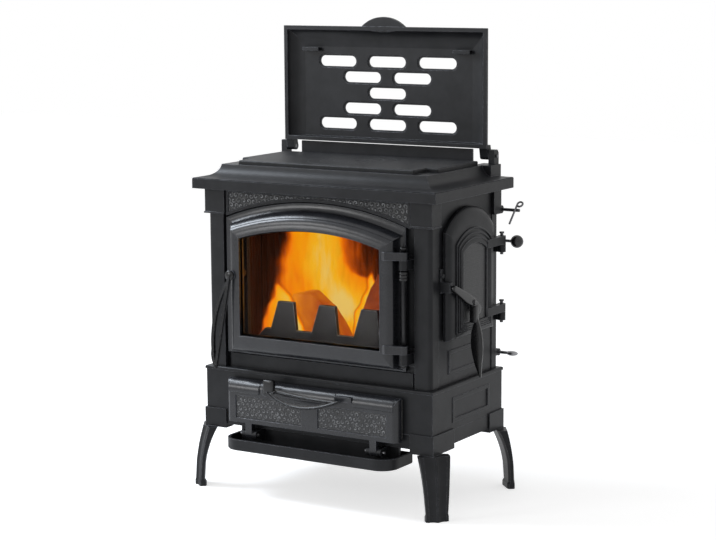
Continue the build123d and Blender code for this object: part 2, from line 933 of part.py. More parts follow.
def side_plane(x):
    """Plane square to X on the right side, its origin under the side door's middle."""
    return Plane(origin=(x, side_centre, 0), x_dir=(0, 1, 0), z_dir=(1, 0, 0))


def side_door_level(step):
    """Side door outline at an angle of its rounded bead."""
    inward = 1 - cos(step)
    half = side_door_half - side_line_in * inward
    return arched_face(
        side_plane(side_edge_x + (side_line_x - side_edge_x) * sin(step)),
        -half,
        half,
        side_door_bottom + side_line_rise * inward,
        side_door_crown - side_line_drop * inward,
        side_door_arch + (side_line_arch - side_door_arch) * inward,
    )


def side_relief(back_x):
    """Arched relief of the sides: edge, rounded bead, sloping field and sunk middle panel."""
    extrude(
        arched_face(
            side_plane(back_x),
            -side_door_half,
            side_door_half,
            side_door_bottom,
            side_door_crown,
            side_door_arch,
        ),
        amount=side_edge_x - back_x,
    )
    loft([side_door_level(step) for step in quarter_steps])
    rim = arched_face(
        side_plane(side_rim_x), -side_rim_half, side_rim_half, side_rim_bottom, side_rim_crown, side_rim_arch
    )
    loft([side_door_level(quarter_steps[-1]), rim], ruled=True)
    extrude(
        arched_face(
            side_plane(side_rim_x),
            -side_rim_half + side_panel_rim,
            side_rim_half - side_panel_rim,
            side_rim_bottom + side_panel_rim,
            side_rim_crown - side_panel_rim,
            side_rim_arch - side_panel_rim,
        ),
        amount=-side_panel_depth,
        mode=Mode.SUBTRACT,
    )


def side_pocket(back_x, front_x):
    """Arched face and depth cut behind the relief."""
    extrude(
        arched_face(
            side_plane(back_x),
            -side_pocket_half,
            side_pocket_half,
            side_pocket_bottom,
            side_pocket_crown,
            side_pocket_arch,
        ),
        amount=front_x - back_x,
        mode=Mode.SUBTRACT,
    )


def side_wall():
    """Side plate between the columns, with the framed panel under the arch."""
    box_between(
        (side_frame_x, side_panel_front + groove, ring_top),
        (side_face_x, side_panel_back - groove, cornice_bottom),
    )
    box_between((side_face_x, -80.0, 330.0), (side_face_x + 2, 84.0, 388.0))
    box_between((side_face_x, -72.0, 338.0), (side_face_x + 2, 76.0, 380.0), mode=Mode.SUBTRACT)


with BuildPart() as right_side_frame:
    side_wall()
    side_pocket(side_frame_x, side_face_x)
save(right_side_frame, "right_side_frame")

with BuildPart() as left_side_panel:
    side_wall()
    side_relief(side_face_x)
    side_pocket(side_frame_x, side_pocket_x)
    mirror(about=Plane.YZ, mode=Mode.REPLACE)
save(left_side_panel, "left_side_panel")

side_hinge_x = 336.0
side_hinge_y = 150.0
side_pin_radius = 4.0
side_knuckle_radius = 10.0
side_upper_ear = (598.0, 618.0 - seat_gap)
side_upper_knuckle = (618.0, 638.0)
side_lower_ear = (429.0, 450.0 - seat_gap)
side_lower_knuckle = (450.0, 470.0)
lever_y = -26.0
lever_z = 501.0
lever_boss_x = 346.0
with BuildPart() as side_door:
    side_relief(side_back_x)
    side_pocket(side_back_x, side_pocket_x)
    for low, high in (side_upper_knuckle, side_lower_knuckle):
        with BuildSketch(Plane.XY.offset(low)):
            with BuildLine():
                Polyline(
                    (side_edge_x - 4, side_centre + side_door_half - 2),
                    (side_rim_x - 6, side_centre + side_rim_half),
                    (side_rim_x + 1, side_centre + side_rim_half),
                    (side_hinge_x + side_knuckle_radius, side_hinge_y),
                    (side_hinge_x - 6, side_hinge_y - 6),
                    close=True,
                )
            make_face()
            with Locations((side_hinge_x, side_hinge_y)):
                Circle(side_knuckle_radius)
                Circle(side_pin_radius + running_fit, mode=Mode.SUBTRACT)
        extrude(amount=high - low)
    with BuildSketch(side_plane(side_back_x + 3)):
        with Locations((lever_y - side_centre, lever_z)):
            Circle(13)
    extrude(amount=lever_boss_x - side_back_x - 3)
    with BuildSketch(side_plane(side_back_x)):
        with Locations((lever_y - side_centre, lever_z)):
            Circle(latch_radius + running_fit)
    extrude(amount=lever_boss_x - side_back_x, mode=Mode.SUBTRACT)
save(side_door, "side_door")

side_gasket_half = 109.0
with BuildPart() as side_gasket:
    extrude(
        arched_face(
            side_plane(side_face_x + seat_gap),
            -side_gasket_half,
            side_gasket_half,
            side_door_bottom + 6,
            side_door_crown - 6,
            side_door_arch - 6,
        ),
        amount=side_back_x - side_face_x - seat_gap,
    )
    extrude(
        arched_face(
            side_plane(side_face_x),
            -side_gasket_half + gasket_width,
            side_gasket_half - gasket_width,
            side_door_bottom + 6 + gasket_width,
            side_door_crown - 6 - gasket_width,
            side_door_arch - 6 - gasket_width,
        ),
        amount=side_back_x - side_face_x,
        mode=Mode.SUBTRACT,
    )
save(side_gasket, "side_gasket")

# Side hinge: ears on the rear column and one pin through each pair of knuckles
with BuildPart() as side_ears:
    for low, high in (side_upper_ear, side_lower_ear):
        with BuildSketch(Plane.XY.offset(low)):
            with Locations((side_hinge_x, side_hinge_y)):
                Circle(side_knuckle_radius)
            with Locations((shaft_x + (side_hinge_x - shaft_x) / 2, side_hinge_y)):
                Rectangle(side_hinge_x - shaft_x, 14)
            with Locations((side_hinge_x, side_hinge_y)):
                Circle(side_pin_radius + running_fit, mode=Mode.SUBTRACT)
        extrude(amount=high - low)
save(side_ears, "side_ears")

with BuildPart() as side_pins:
    for low, high in (
        (side_upper_ear[0] - 6, side_upper_knuckle[1] + 6),
        (side_lower_ear[0] - 6, side_lower_knuckle[1] + 6),
    ):
        with BuildSketch(Plane.XY.offset(low)):
            with Locations((side_hinge_x, side_hinge_y)):
                Circle(side_pin_radius)
        extrude(amount=high - low)
        with BuildSketch(Plane.XY.offset(high)):
            with Locations((side_hinge_x, side_hinge_y)):
                Circle(side_pin_radius + 2)
        extrude(amount=4)
save(side_pins, "side_pins")

# Side latch: lever with its nose on the keeper, a small knob and a hanging leaf loop
nose_y = -116.0
nose_z = 546.0
lever_x = lever_boss_x + seat_gap
lever_thickness = 9.0
side_loop_x = 366.0
side_loop_top = 466.0
side_loop_length = 149.0
side_loop_width = 41.0
side_loop_turn = 45.0
with BuildPart() as side_lever:
    with BuildSketch(side_plane(lever_x)):
        with Locations((lever_y - side_centre, lever_z)):
            Circle(14)
        with Locations((nose_y - side_centre, nose_z)):
            Circle(7)
        make_hull()
        with BuildLine():
            Polyline(
                (lever_y - side_centre - 12, lever_z),
                (lever_y - side_centre + 12, lever_z),
                (lever_y - side_centre + 10, side_loop_top - 6),
                (lever_y - side_centre - 8, side_loop_top - 6),
                close=True,
            )
        make_face()
    extrude(amount=lever_thickness)
    with BuildSketch(side_plane(lever_x)):
        with Locations((lever_y - side_centre - 32, lever_z - 8)):
            Circle(7)
        with Locations((lever_y - side_centre - 16, lever_z)):
            Rectangle(34, 12)
    extrude(amount=lever_thickness)
    with BuildSketch(side_plane(lever_x + lever_thickness)):
        with Locations((lever_y - side_centre - 32, lever_z - 8)):
            Circle(5)
    extrude(amount=8)
    box_between(
        (lever_x, lever_y - 8, side_loop_top - 6), (side_loop_x + 4, lever_y + 8, side_loop_top + 6)
    )
    leaf_loop(
        Plane(
            origin=(side_loop_x - 4, lever_y - 4, side_loop_top + 4),
            x_dir=(cos(radians(side_loop_turn)), -sin(radians(side_loop_turn)), 0),
            z_dir=(-sin(radians(side_loop_turn)), -cos(radians(side_loop_turn)), 0),
        ),
        side_loop_length,
        side_loop_width / 2,
        side_loop_width,
        8.0,
        8.0,
    )
    with BuildSketch(side_plane(side_back_x + 1)):
        with Locations((lever_y - side_centre, lever_z)):
            Circle(latch_radius)
    extrude(amount=lever_x - side_back_x)
save(side_lever, "side_lever")

with BuildPart() as side_keeper:
    box_between((side_face_x, -127.0, 533.0), (side_face_x + 6, -114.5, 590.0))
    box_between((side_face_x, -127.0, 536.0), (lever_boss_x, -114.5, 560.0))
    chamfer(side_keeper.edges().filter_by(Axis.Z).group_by(Axis.X)[-1], length=2)
    with BuildSketch(Plane.YZ.offset(side_face_x + 6)):
        with Locations((-120.75, 574.0)):
            Circle(5)
    extrude(amount=4)
save(side_keeper, "side_keeper")

# Back panel with the smoke opening and the slots of both air inlets
back_face = inner_y
outlet_half = 78.0
outlet_bottom = 640.0
outlet_top = 740.0
slot_count = 4
slot_pitch = 30.0
slot_width = 9.0
slot_height = 22.0
register_shift = slot_pitch / 2
upper_register_x = 184.0
upper_register_z = 620.0
lower_register_x = 184.0
lower_register_z = 339.0
with BuildPart() as back_panel:
    box_between(
        (-inner_x, back_face - panel_wall, ring_top),
        (inner_x, back_face, cornice_bottom),
    )
    box_between(
        (-outlet_half, back_face - panel_wall, outlet_bottom),
        (outlet_half, back_face, outlet_top),
        mode=Mode.SUBTRACT,
    )
    for register_x, register_z in (
        (upper_register_x, upper_register_z),
        (lower_register_x, lower_register_z),
    ):
        with BuildSketch(Plane.XZ.offset(-back_face)):
            with Locations((register_x, register_z)):
                with GridLocations(slot_pitch, 1, slot_count, 1):
                    SlotOverall(slot_height, slot_width, rotation=90)
        extrude(amount=panel_wall, mode=Mode.SUBTRACT)
save(back_panel, "back_panel")

# Air registers: slotted slides between guide strips, each drawn by a rod along the back
register_back = back_face + seat_gap
register_thickness = 4.0
register_half = 68.0
register_height = 34.0
rod_y = 188.0
air_rod_radius = 4.0
guide_height = 6.0
guide_x = 300.0
ball_radius = 16.0
ball_x = 358.0
ball_z = 620.0
oval_left = 333.0
oval_right = 360.0


def air_slide(register_x, register_z, rod_end):
    """Slotted slide with a lug behind it and the rod out to the right side."""
    box_between(
        (register_x - register_half, register_back, register_z - register_height / 2),
        (register_x + register_half, register_back + register_thickness, register_z + register_height / 2),
    )
    with BuildSketch(Plane.XZ.offset(-register_back)) as slots:
        with Locations((register_x, register_z)):
            with GridLocations(slot_pitch, 1, slot_count, 1):
                SlotOverall(slot_height, slot_width, rotation=90)
    extrude(slots.sketch, amount=-register_thickness, mode=Mode.SUBTRACT)
    lug_right = register_x + register_half
    box_between(
        (lug_right - 8, register_back + register_thickness, register_z - 6),
        (lug_right, rod_y + air_rod_radius, register_z + 6),
    )
    with BuildSketch(Plane.YZ.offset(lug_right)) as rod_end_face:
        with Locations((rod_y, register_z)):
            Circle(air_rod_radius)
    extrude(rod_end_face.sketch, amount=rod_end - lug_right)


with BuildPart() as secondary_air_slide:
    air_slide(upper_register_x, upper_register_z, ball_x - ball_radius + 2)
    with Locations((ball_x, rod_y, ball_z)):
        Sphere(ball_radius)
save(secondary_air_slide, "secondary_air_slide")

with BuildPart() as primary_air_slide:
    air_slide(lower_register_x, lower_register_z, oval_left + 2)
    with BuildSketch(Plane.YZ.offset(oval_left)) as tip_start:
        with Locations((rod_y, lower_register_z)):
            Circle(air_rod_radius)
    with BuildSketch(Plane.YZ.offset(oval_left + 8)) as tip_swell:
        with Locations((rod_y, lower_register_z)):
            Ellipse(9, 6)
    with BuildSketch(Plane.YZ.offset(oval_right)) as tip_end:
        with Locations((rod_y, lower_register_z)):
            Ellipse(5, 3.5)
    loft([tip_start.sketch, tip_swell.sketch, tip_end.sketch])
save(primary_air_slide, "primary_air_slide")

with BuildPart() as register_guides:
    for register_x, register_z in (
        (upper_register_x, upper_register_z),
        (lower_register_x, lower_register_z),
    ):
        for side in (-1, 1):
            edge = register_z + side * (register_height / 2 + seat_gap)
            low, high = sorted((edge, edge + side * guide_height))
            box_between(
                (register_x - register_half, back_face, low),
                (column_inner_edge, register_back + register_thickness, high),
            )
            lip_low, lip_high = sorted((edge - side * 4, edge + side * guide_height))
            box_between(
                (register_x - register_half, register_back + register_thickness + seat_gap, lip_low),
                (register_x + register_half - 12, register_back + register_thickness + 3, lip_high),
            )
            box_between(
                (register_x - register_half, register_back + register_thickness, low),
                (register_x + register_half - 12, register_back + register_thickness + 3, high),
            )
save(register_guides, "register_guides")

# Smoke outlet box stepped under the cornice, round flue collar and the damper across the box
box_half = 85.0
box_wall = 6.0
box_bottom = 612.0
box_back = 225.0
collar_z = 696.0
collar_radius = 82.0
collar_bore = 75.5
outlet_hole = 70.0
collar_end = 265.0
damper_y = 189.0
damper_z = 697.0
damper_rod_radius = 4.0
flap_half_height = 28.0
flap_thickness = 4.0
step_y = half_depth + 1.5
box_low_top = cornice_bottom - 1.0
box_high_top = collar_z + collar_radius
with BuildPart() as smoke_outlet:
    with BuildSketch(Plane.YZ.offset(-box_half)):
        with BuildLine():
            Polyline(
                (back_face, box_bottom),
                (box_back, box_bottom),
                (box_back, box_high_top),
                (step_y, box_high_top),
                (step_y, box_low_top),
                (back_face, box_low_top),
                close=True,
            )
        make_face()
    extrude(amount=2 * box_half)
    with BuildSketch(Plane.YZ.offset(-box_half + box_wall)):
        with BuildLine():
            Polyline(
                (back_face, box_bottom + box_wall),
                (box_back - box_wall, box_bottom + box_wall),
                (box_back - box_wall, box_high_top - box_wall),
                (step_y + box_wall, box_high_top - box_wall),
                (step_y + box_wall, box_low_top - box_wall),
                (back_face, box_low_top - box_wall),
                close=True,
            )
        make_face()
    extrude(amount=2 * (box_half - box_wall), mode=Mode.SUBTRACT)
    with BuildSketch(Plane.XZ.offset(-box_back)):
        with Locations((0, collar_z)):
            Circle(outlet_hole)
    extrude(amount=box_wall, mode=Mode.SUBTRACT)
    with BuildSketch(Plane.YZ.offset(-box_half)):
        with Locations((damper_y, damper_z)):
            Circle(damper_rod_radius + running_fit)
    extrude(amount=2 * box_half, mode=Mode.SUBTRACT)
save(smoke_outlet, "smoke_outlet")

with BuildPart() as flue_collar:
    with BuildSketch(Plane.XZ.offset(-collar_end)):
        with Locations((0, collar_z)):
            Circle(collar_radius)
    extrude(amount=collar_end - box_back)
    with BuildSketch(Plane.XZ.offset(-collar_end)):
        with Locations((0, collar_z)):
            Circle(collar_bore)
    extrude(amount=collar_end - box_back, mode=Mode.SUBTRACT)
save(flue_collar, "flue_collar")

damper_end = 364.0
wire_x = 356.0
wire_radius = 2.5
wire_low = 669.0
wire_eye_z = 719.0
wire_eye = 8.0
with BuildPart() as damper:
    with BuildSketch(Plane.YZ.offset(-box_half - 6)):
        with Locations((damper_y, damper_z)):
            Circle(damper_rod_radius)
    extrude(amount=damper_end + box_half + 6)
    box_between(
        (-box_half + box_wall + 3, damper_y - flap_thickness / 2, damper_z - flap_half_height),
        (box_half - box_wall - 3, damper_y + flap_thickness / 2, damper_z + flap_half_height),
    )
save(damper, "damper")

with BuildPart() as damper_handle:
    with BuildLine(Plane(origin=(wire_x, damper_y + damper_rod_radius + wire_radius, 0), x_dir=(1, 0, 0), z_dir=(0, -1, 0))) as wire_path:
        Line((0, wire_low), (0, wire_eye_z))
        CenterArc((wire_eye, wire_eye_z), wire_eye, 180, -300)
    with BuildSketch(Plane(origin=wire_path.line @ 0, z_dir=(0, 0, 1))):
        Circle(wire_radius)
    sweep(path=wire_path.line)
save(damper_handle, "damper_handle")

# Eyes on the rear column that guide the three rods
with BuildPart() as rod_eyes:
    for register_z in (upper_register_z, lower_register_z):
        with BuildSketch(Plane.YZ.offset(guide_x)):
            with Locations((rod_y, register_z)):
                Circle(9)
            with Locations(((shaft_y + rod_y) / 2, register_z)):
                Rectangle(rod_y - shaft_y, 14)
            with Locations((rod_y, register_z)):
                Circle(air_rod_radius + running_fit, mode=Mode.SUBTRACT)
        extrude(amount=10)
    capital_back = half_depth - capital_inset
    with BuildSketch(Plane.YZ.offset(guide_x)):
        with Locations((damper_y, damper_z)):
            Circle(10)
        with Locations(((capital_back + damper_y) / 2, (cap_ring_top + damper_z + 10) / 2)):
            Rectangle(damper_y - capital_back, damper_z + 10 - cap_ring_top)
        with Locations((damper_y, damper_z)):
            Circle(damper_rod_radius + running_fit, mode=Mode.SUBTRACT)
    extrude(amount=16)
save(rod_eyes, "rod_eyes")

# Cornice: fascia, hollow cove and flat top round the hotplate opening
cornice_hole_x = 235.0
cornice_hole_y = 124.0
hinge_pad_inner = 268.0
hinge_pad_outer = 316.0
rail_half = 250.0
rail_front = 156.0
rail_back = 163.0
rail_top = 846.0


def cornice_level(step):
    """Cornice outline at an angle of the cove."""
    inset = cove_inset * sin(step)
    height = cornice_top - (cornice_top - fascia_top) * cos(step)
    with BuildSketch(Plane.XY.offset(height)) as outline:
        Rectangle(width - 2 * inset, depth - 2 * inset)
    return outline.sketch


with BuildPart() as cornice:
    with BuildSketch(Plane.XY.offset(cornice_bottom)):
        Rectangle(width, depth)
    extrude(amount=fascia_top - cornice_bottom)
    chamfer(cornice.faces().sort_by(Axis.Z)[-1].edges(), length=2)
    loft([cornice_level(step) for step in quarter_steps])
    for side in (-1, 1):
        left, right = sorted((side * hinge_pad_inner, side * hinge_pad_outer))
        box_between((left, 130.0, fascia_top - 6), (right, 182.0, cornice_top))
    box_between((-rail_half, 130.0, fascia_top - 6), (rail_half, rail_back + 4, cornice_top))
    box_between((-inner_x, -inner_y, cornice_bottom), (inner_x, inner_y, cornice_bottom + 16), mode=Mode.SUBTRACT)
    box_between(
        (-cornice_hole_x - 22, -cornice_hole_y - 8, cornice_bottom),
        (cornice_hole_x + 22, cornice_hole_y + 8, cornice_top - cast_wall),
        mode=Mode.SUBTRACT,
    )
    box_between(
        (-cornice_hole_x, -cornice_hole_y, cornice_bottom),
        (cornice_hole_x, cornice_hole_y, cornice_top),
        mode=Mode.SUBTRACT,
    )
save(cornice, "cornice")

with BuildPart() as rear_rail:
    box_between((-rail_half, rail_front, cornice_top), (rail_half, rail_back, rail_top))
    fillet(rear_rail.edges().filter_by(Axis.X).group_by(Axis.Z)[-1], radius=2.5)
save(rear_rail, "rear_rail")

# Hotplate with notched front corners, and the ring set nested in its stepped hole
hotplate_x = 281.0
hotplate_y = 130.0
notch_x = 250.0
notch_y = 69.0
ring_radii = (110.0, 78.0, 45.0)
ring_ledge = 8.0
ring_floors = (806.0, 812.0, 816.0)
ring_fit = 0.5
with BuildPart() as hotplate:
    with BuildSketch(Plane.XY.offset(cornice_top)):
        Rectangle(2 * hotplate_x, 2 * hotplate_y)
        for side in (-1, 1):
            with Locations((side * (notch_x + 20), -notch_y - 40)):
                Rectangle(40, 80, mode=Mode.SUBTRACT)
    extrude(amount=hotplate_top - cornice_top)
    fillet(hotplate.edges().filter_by(Axis.Z), radius=3)
    chamfer(hotplate.faces().sort_by(Axis.Z)[-1].edges(), length=2)
    with BuildSketch(Plane.XY.offset(cornice_top - 8)):
        Rectangle(2 * cornice_hole_x - 4, 2 * cornice_hole_y - 4)
    extrude(amount=8)
    with BuildSketch(Plane.XY.offset(cornice_top - 8)):
        Circle(ring_radii[0] - ring_ledge)
    extrude(amount=hotplate_top - cornice_top + 8, mode=Mode.SUBTRACT)
    box_between((-cornice_hole_x + 9, -cornice_hole_y + 9, cornice_top - 8), (-ring_radii[0] - 14, cornice_hole_y - 9, cornice_top), mode=Mode.SUBTRACT)
    box_between((ring_radii[0] + 14, -cornice_hole_y + 9, cornice_top - 8), (cornice_hole_x - 9, cornice_hole_y - 9, cornice_top), mode=Mode.SUBTRACT)
    with BuildSketch(Plane.XY.offset(ring_floors[0])):
        Circle(ring_radii[0])
    extrude(amount=hotplate_top - ring_floors[0], mode=Mode.SUBTRACT)
save(hotplate, "hotplate")

ring_names = ("outer_ring", "inner_ring")
for index, ring_name in enumerate(ring_names):
    with BuildPart() as ring:
        with BuildSketch(Plane.XY.offset(ring_floors[index])):
            Circle(ring_radii[index] - ring_fit)
            Circle(ring_radii[index + 1] - ring_ledge, mode=Mode.SUBTRACT)
        extrude(amount=hotplate_top - ring_floors[index])
        with BuildSketch(Plane.XY.offset(ring_floors[index + 1])):
            Circle(ring_radii[index + 1])
        extrude(amount=hotplate_top - ring_floors[index + 1], mode=Mode.SUBTRACT)
    save(ring, ring_name)

with BuildPart() as ring_cap:
    with BuildSketch(Plane.XY.offset(ring_floors[2])):
        Circle(ring_radii[2] - ring_fit)
    extrude(amount=hotplate_top - ring_floors[2])
    with BuildSketch(Plane.XY.offset(hotplate_top)):
        with Locations((22, 0)):
            SlotOverall(26, 12)
    extrude(amount=-2.5, mode=Mode.SUBTRACT)
save(ring_cap, "ring_cap")

# Cooking lid: shallow casting rounded in all round to a flat field with slots, standing open
lid_axis_y = 164.5
lid_axis_z = 830.5
lid_half = 294.5
lid_bottom = 849.0
lid_top = 1141.0
lid_rim_y = 146.0
lid_wall = 6.0
lid_rim_wall = 10.0
lid_field_half = 244.0
lid_field_drop = 43.0
lid_field_depth = 22.0
lid_slot_length = 107.0
lid_slot_width = 27.0
lid_slot_pitch = 145.0
lid_slot_recess = 4.0
lid_row_top = 1052.0
lid_row_pitch = 39.5
lid_rows = 5
lid_pin_radius = 4.0
lid_knuckle_radius = 10.0
lid_ear_inner = 272.0
grip_half = 66.0
grip_bottom = 1127.0
grip_top = 1165.0


def lid_level(inset, back, step):
    """Lid outline at an angle of its rounded edge, this much inside the outer casting."""
    reach = 1 - cos(step)
    half = lid_half - inset - (lid_half - lid_rim_wall - lid_field_half) * reach
    bottom = lid_bottom + inset + reach
    top = lid_top - inset - lid_field_drop * reach
    forward = -(back + lid_field_depth * sin(step))
    return upright_rectangle(front_plane(forward), -half, half, bottom, top)


with BuildPart() as lid:
    box_between((-lid_half, lid_rim_y, lid_bottom), (lid_half, lid_rim_y + lid_wall, lid_top))
    loft([lid_level(0, lid_rim_y + lid_wall, step) for step in quarter_steps])
    loft([lid_level(lid_rim_wall, lid_rim_y, step) for step in quarter_steps], mode=Mode.SUBTRACT)
    field_y = lid_rim_y + lid_field_depth
    for row in range(lid_rows):
        per_row = 1 + abs(row - lid_rows // 2)
        for grow, depth_cut in ((0, lid_wall + 1), (2 * lid_slot_recess, 2.0)):
            with BuildSketch(Plane.XZ.offset(-field_y)):
                with Locations((0, lid_row_top - row * lid_row_pitch)):
                    with GridLocations(lid_slot_pitch, 1, per_row, 1):
                        SlotOverall(lid_slot_length + grow, lid_slot_width + grow)
            extrude(amount=-depth_cut, mode=Mode.SUBTRACT)
    with BuildSketch(Plane.XZ.offset(-lid_rim_y - 12)):
        with BuildLine():
            ThreePointArc((-grip_half, lid_top - 4), (0, grip_top), (grip_half, lid_top - 4))
            ThreePointArc((grip_half, lid_top - 4), (0, grip_bottom), (-grip_half, lid_top - 4))
        make_face()
    extrude(amount=10)
    for side in (-1, 1):
        with BuildSketch(Plane.YZ.offset(min(side * lid_ear_inner, side * lid_half))):
            with Locations((lid_axis_y, lid_axis_z)):
                Circle(lid_knuckle_radius)
            with BuildLine():
                Polyline(
                    (lid_axis_y - lid_knuckle_radius, lid_axis_z),
                    (lid_axis_y + lid_knuckle_radius, lid_axis_z),
                    (lid_rim_y + lid_field_depth, lid_bottom + 8),
                    (lid_rim_y + 3, lid_bottom + 8),
                    close=True,
                )
            make_face()
            with Locations((lid_axis_y, lid_axis_z)):
                Circle(lid_pin_radius + running_fit, mode=Mode.SUBTRACT)
        extrude(amount=lid_half - lid_ear_inner)
save(lid, "lid")

# Pegs inside the lid's free corners, which carry it on the hotplate when it is shut
peg_inner = 196.0
peg_outer = 243.0
peg_bottom = 1086.0
peg_front = lid_axis_y - (lid_axis_z - hotplate_top) + seat_gap
with BuildPart() as lid_pegs:
    for side in (-1, 1):
        left, right = sorted((side * peg_inner, side * peg_outer))
        box_between((left, peg_front, peg_bottom - 9), (right, field_y, peg_bottom))
save(lid_pegs, "lid_pegs")

# Lid hinge: blocks on the cornice pads and a pin on each side
block_outer = 312.0
with BuildPart() as lid_hinge_blocks:
    for side in (-1, 1):
        near = lid_half + 1
        with BuildSketch(Plane.YZ.offset(min(side * near, side * block_outer))):
            with BuildLine():
                Polyline((155, cornice_top), (178, cornice_top), (178, 838), (172, 846), (155, 846), close=True)
            make_face()
            with Locations((lid_axis_y, lid_axis_z)):
                Circle(lid_pin_radius + running_fit, mode=Mode.SUBTRACT)
        extrude(amount=block_outer - near)
save(lid_hinge_blocks, "lid_hinge_blocks")

with BuildPart() as lid_pins:
    for side in (-1, 1):
        with BuildSketch(Plane.YZ.offset(min(side * lid_ear_inner, side * (block_outer + 4)))):
            with Locations((lid_axis_y, lid_axis_z)):
                Circle(lid_pin_radius)
        extrude(amount=block_outer + 4 - lid_ear_inner)
save(lid_pins, "lid_pins")

# Hearth inside the firebox: floor on the plinth, grate in its opening, log fence, liners and baffle
hearth_x = inner_x - joint_gap
hearth_front = -frame_forward + panel_wall + joint_gap
hearth_back = back_face - panel_wall - joint_gap
hearth_thickness = 10.0
hearth_top = ring_top + hearth_thickness
grate_half_x = 140.0
grate_half_y = 90.0
grate_thickness = 12.0
grate_lip = 8.0
grate_fit = 1.5
grate_slot_pitch = 20.0
grate_slot_width = 9.0
with BuildPart() as hearth_plate:
    box_between((-hearth_x, hearth_front, ring_top), (hearth_x, hearth_back, hearth_top))
    box_between(
        (-grate_half_x, -grate_half_y, ring_top), (grate_half_x, grate_half_y, hearth_top), mode=Mode.SUBTRACT
    )
save(hearth_plate, "hearth_plate")

with BuildPart() as grate:
    box_between(
        (-grate_half_x - grate_lip, -grate_half_y - grate_lip, hearth_top),
        (grate_half_x + grate_lip, grate_half_y + grate_lip, hearth_top + 4),
    )
    box_between(
        (-grate_half_x + grate_fit, -grate_half_y + grate_fit, hearth_top + 4 - grate_thickness),
        (grate_half_x - grate_fit, grate_half_y - grate_fit, hearth_top + 4),
    )
    with BuildSketch(Plane.XY.offset(hearth_top + 4)):
        with GridLocations(grate_slot_pitch, 84, 13, 2):
            SlotOverall(74, grate_slot_width, rotation=90)
    extrude(amount=-grate_thickness, mode=Mode.SUBTRACT)
save(grate, "grate")

# Log fence behind the glass, with tapered teeth
fence_y = -122.0
fence_thickness = 12.0
fence_half = 200.0
fence_top = 408.0
tooth_top = 478.0
tooth_pitch = 120.0
tooth_base = 76.0
tooth_tip = 34.0
with BuildPart() as log_fence:
    with BuildSketch(front_plane(-fence_y)):
        with BuildLine():
            Polyline(
                (-fence_half, hearth_top),
                (fence_half, hearth_top),
                (fence_half, fence_top - 26),
                (fence_half - 26, fence_top),
                (-fence_half + 26, fence_top),
                (-fence_half, fence_top - 26),
                close=True,
            )
        make_face()
        with Locations((0, (fence_top + tooth_top) / 2 - 2)):
            with GridLocations(tooth_pitch, 1, 3, 1):
                Trapezoid(tooth_base, tooth_top - fence_top + 4, 72, 84)
    extrude(amount=fence_thickness)
save(log_fence, "log_fence")

# Firebox liners: ribbed plates on the hearth, the right one open at the side door
liner_top = 700.0
liner_thickness = 8.0
liner_gap = 6.0
liner_front = -132.0
liner_back = 131.0
liner_rib = 4.0
liner_rib_width = 8.0
liner_rib_pitch = 28.0
liner_outer = side_frame_x - liner_gap


def side_liner():
    """Right liner with upright ribs on its fire side."""
    box_between(
        (liner_outer - liner_thickness, liner_front, hearth_top), (liner_outer, liner_back, liner_top)
    )
    with Locations((liner_outer - liner_thickness - liner_rib / 2, 0, (hearth_top + liner_top) / 2)):
        with GridLocations(1, liner_rib_pitch, 1, 9):
            Box(liner_rib, liner_rib_width, liner_top - hearth_top - 20)


with BuildPart() as liner_right:
    side_liner()
    extrude(
        arched_face(
            side_plane(liner_outer),
            -side_pocket_half,
            side_pocket_half,
            side_pocket_bottom,
            side_pocket_crown,
            side_pocket_arch,
        ),
        amount=-liner_thickness - liner_rib,
        mode=Mode.SUBTRACT,
    )
save(liner_right, "liner_right")

with BuildPart() as liner_left:
    side_liner()
    mirror(about=Plane.YZ, mode=Mode.REPLACE)
save(liner_left, "liner_left")

back_liner_y = liner_back + joint_gap
back_liner_top = 632.0
with BuildPart() as liner_back_plate:
    box_between(
        (-liner_outer + 1, back_liner_y, hearth_top), (liner_outer - 1, back_liner_y + liner_thickness, back_liner_top)
    )
    with Locations((0, back_liner_y - liner_rib / 2, (hearth_top + back_liner_top) / 2)):
        with GridLocations(liner_rib_pitch, 1, 19, 1):
            Box(liner_rib_width, liner_rib, back_liner_top - hearth_top - 20)
save(liner_back_plate, "liner_back")

# Baffle lying on the side liners under the hotplate
baffle_thickness = 8.0
baffle_front = -70.0
baffle_back = 120.0
with BuildPart() as baffle:
    box_between(
        (-liner_outer + 1, baffle_front, liner_top), (liner_outer - 1, baffle_back, liner_top + baffle_thickness)
    )
    with Locations((0, (baffle_front + baffle_back) / 2, liner_top + baffle_thickness + 3)):
        with GridLocations(90, 1, 5, 1):
            Box(7, baffle_back - baffle_front - 30, 6)
save(baffle, "baffle")
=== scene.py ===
import bmesh
import bpy
import numpy as np
from mathutils import Matrix


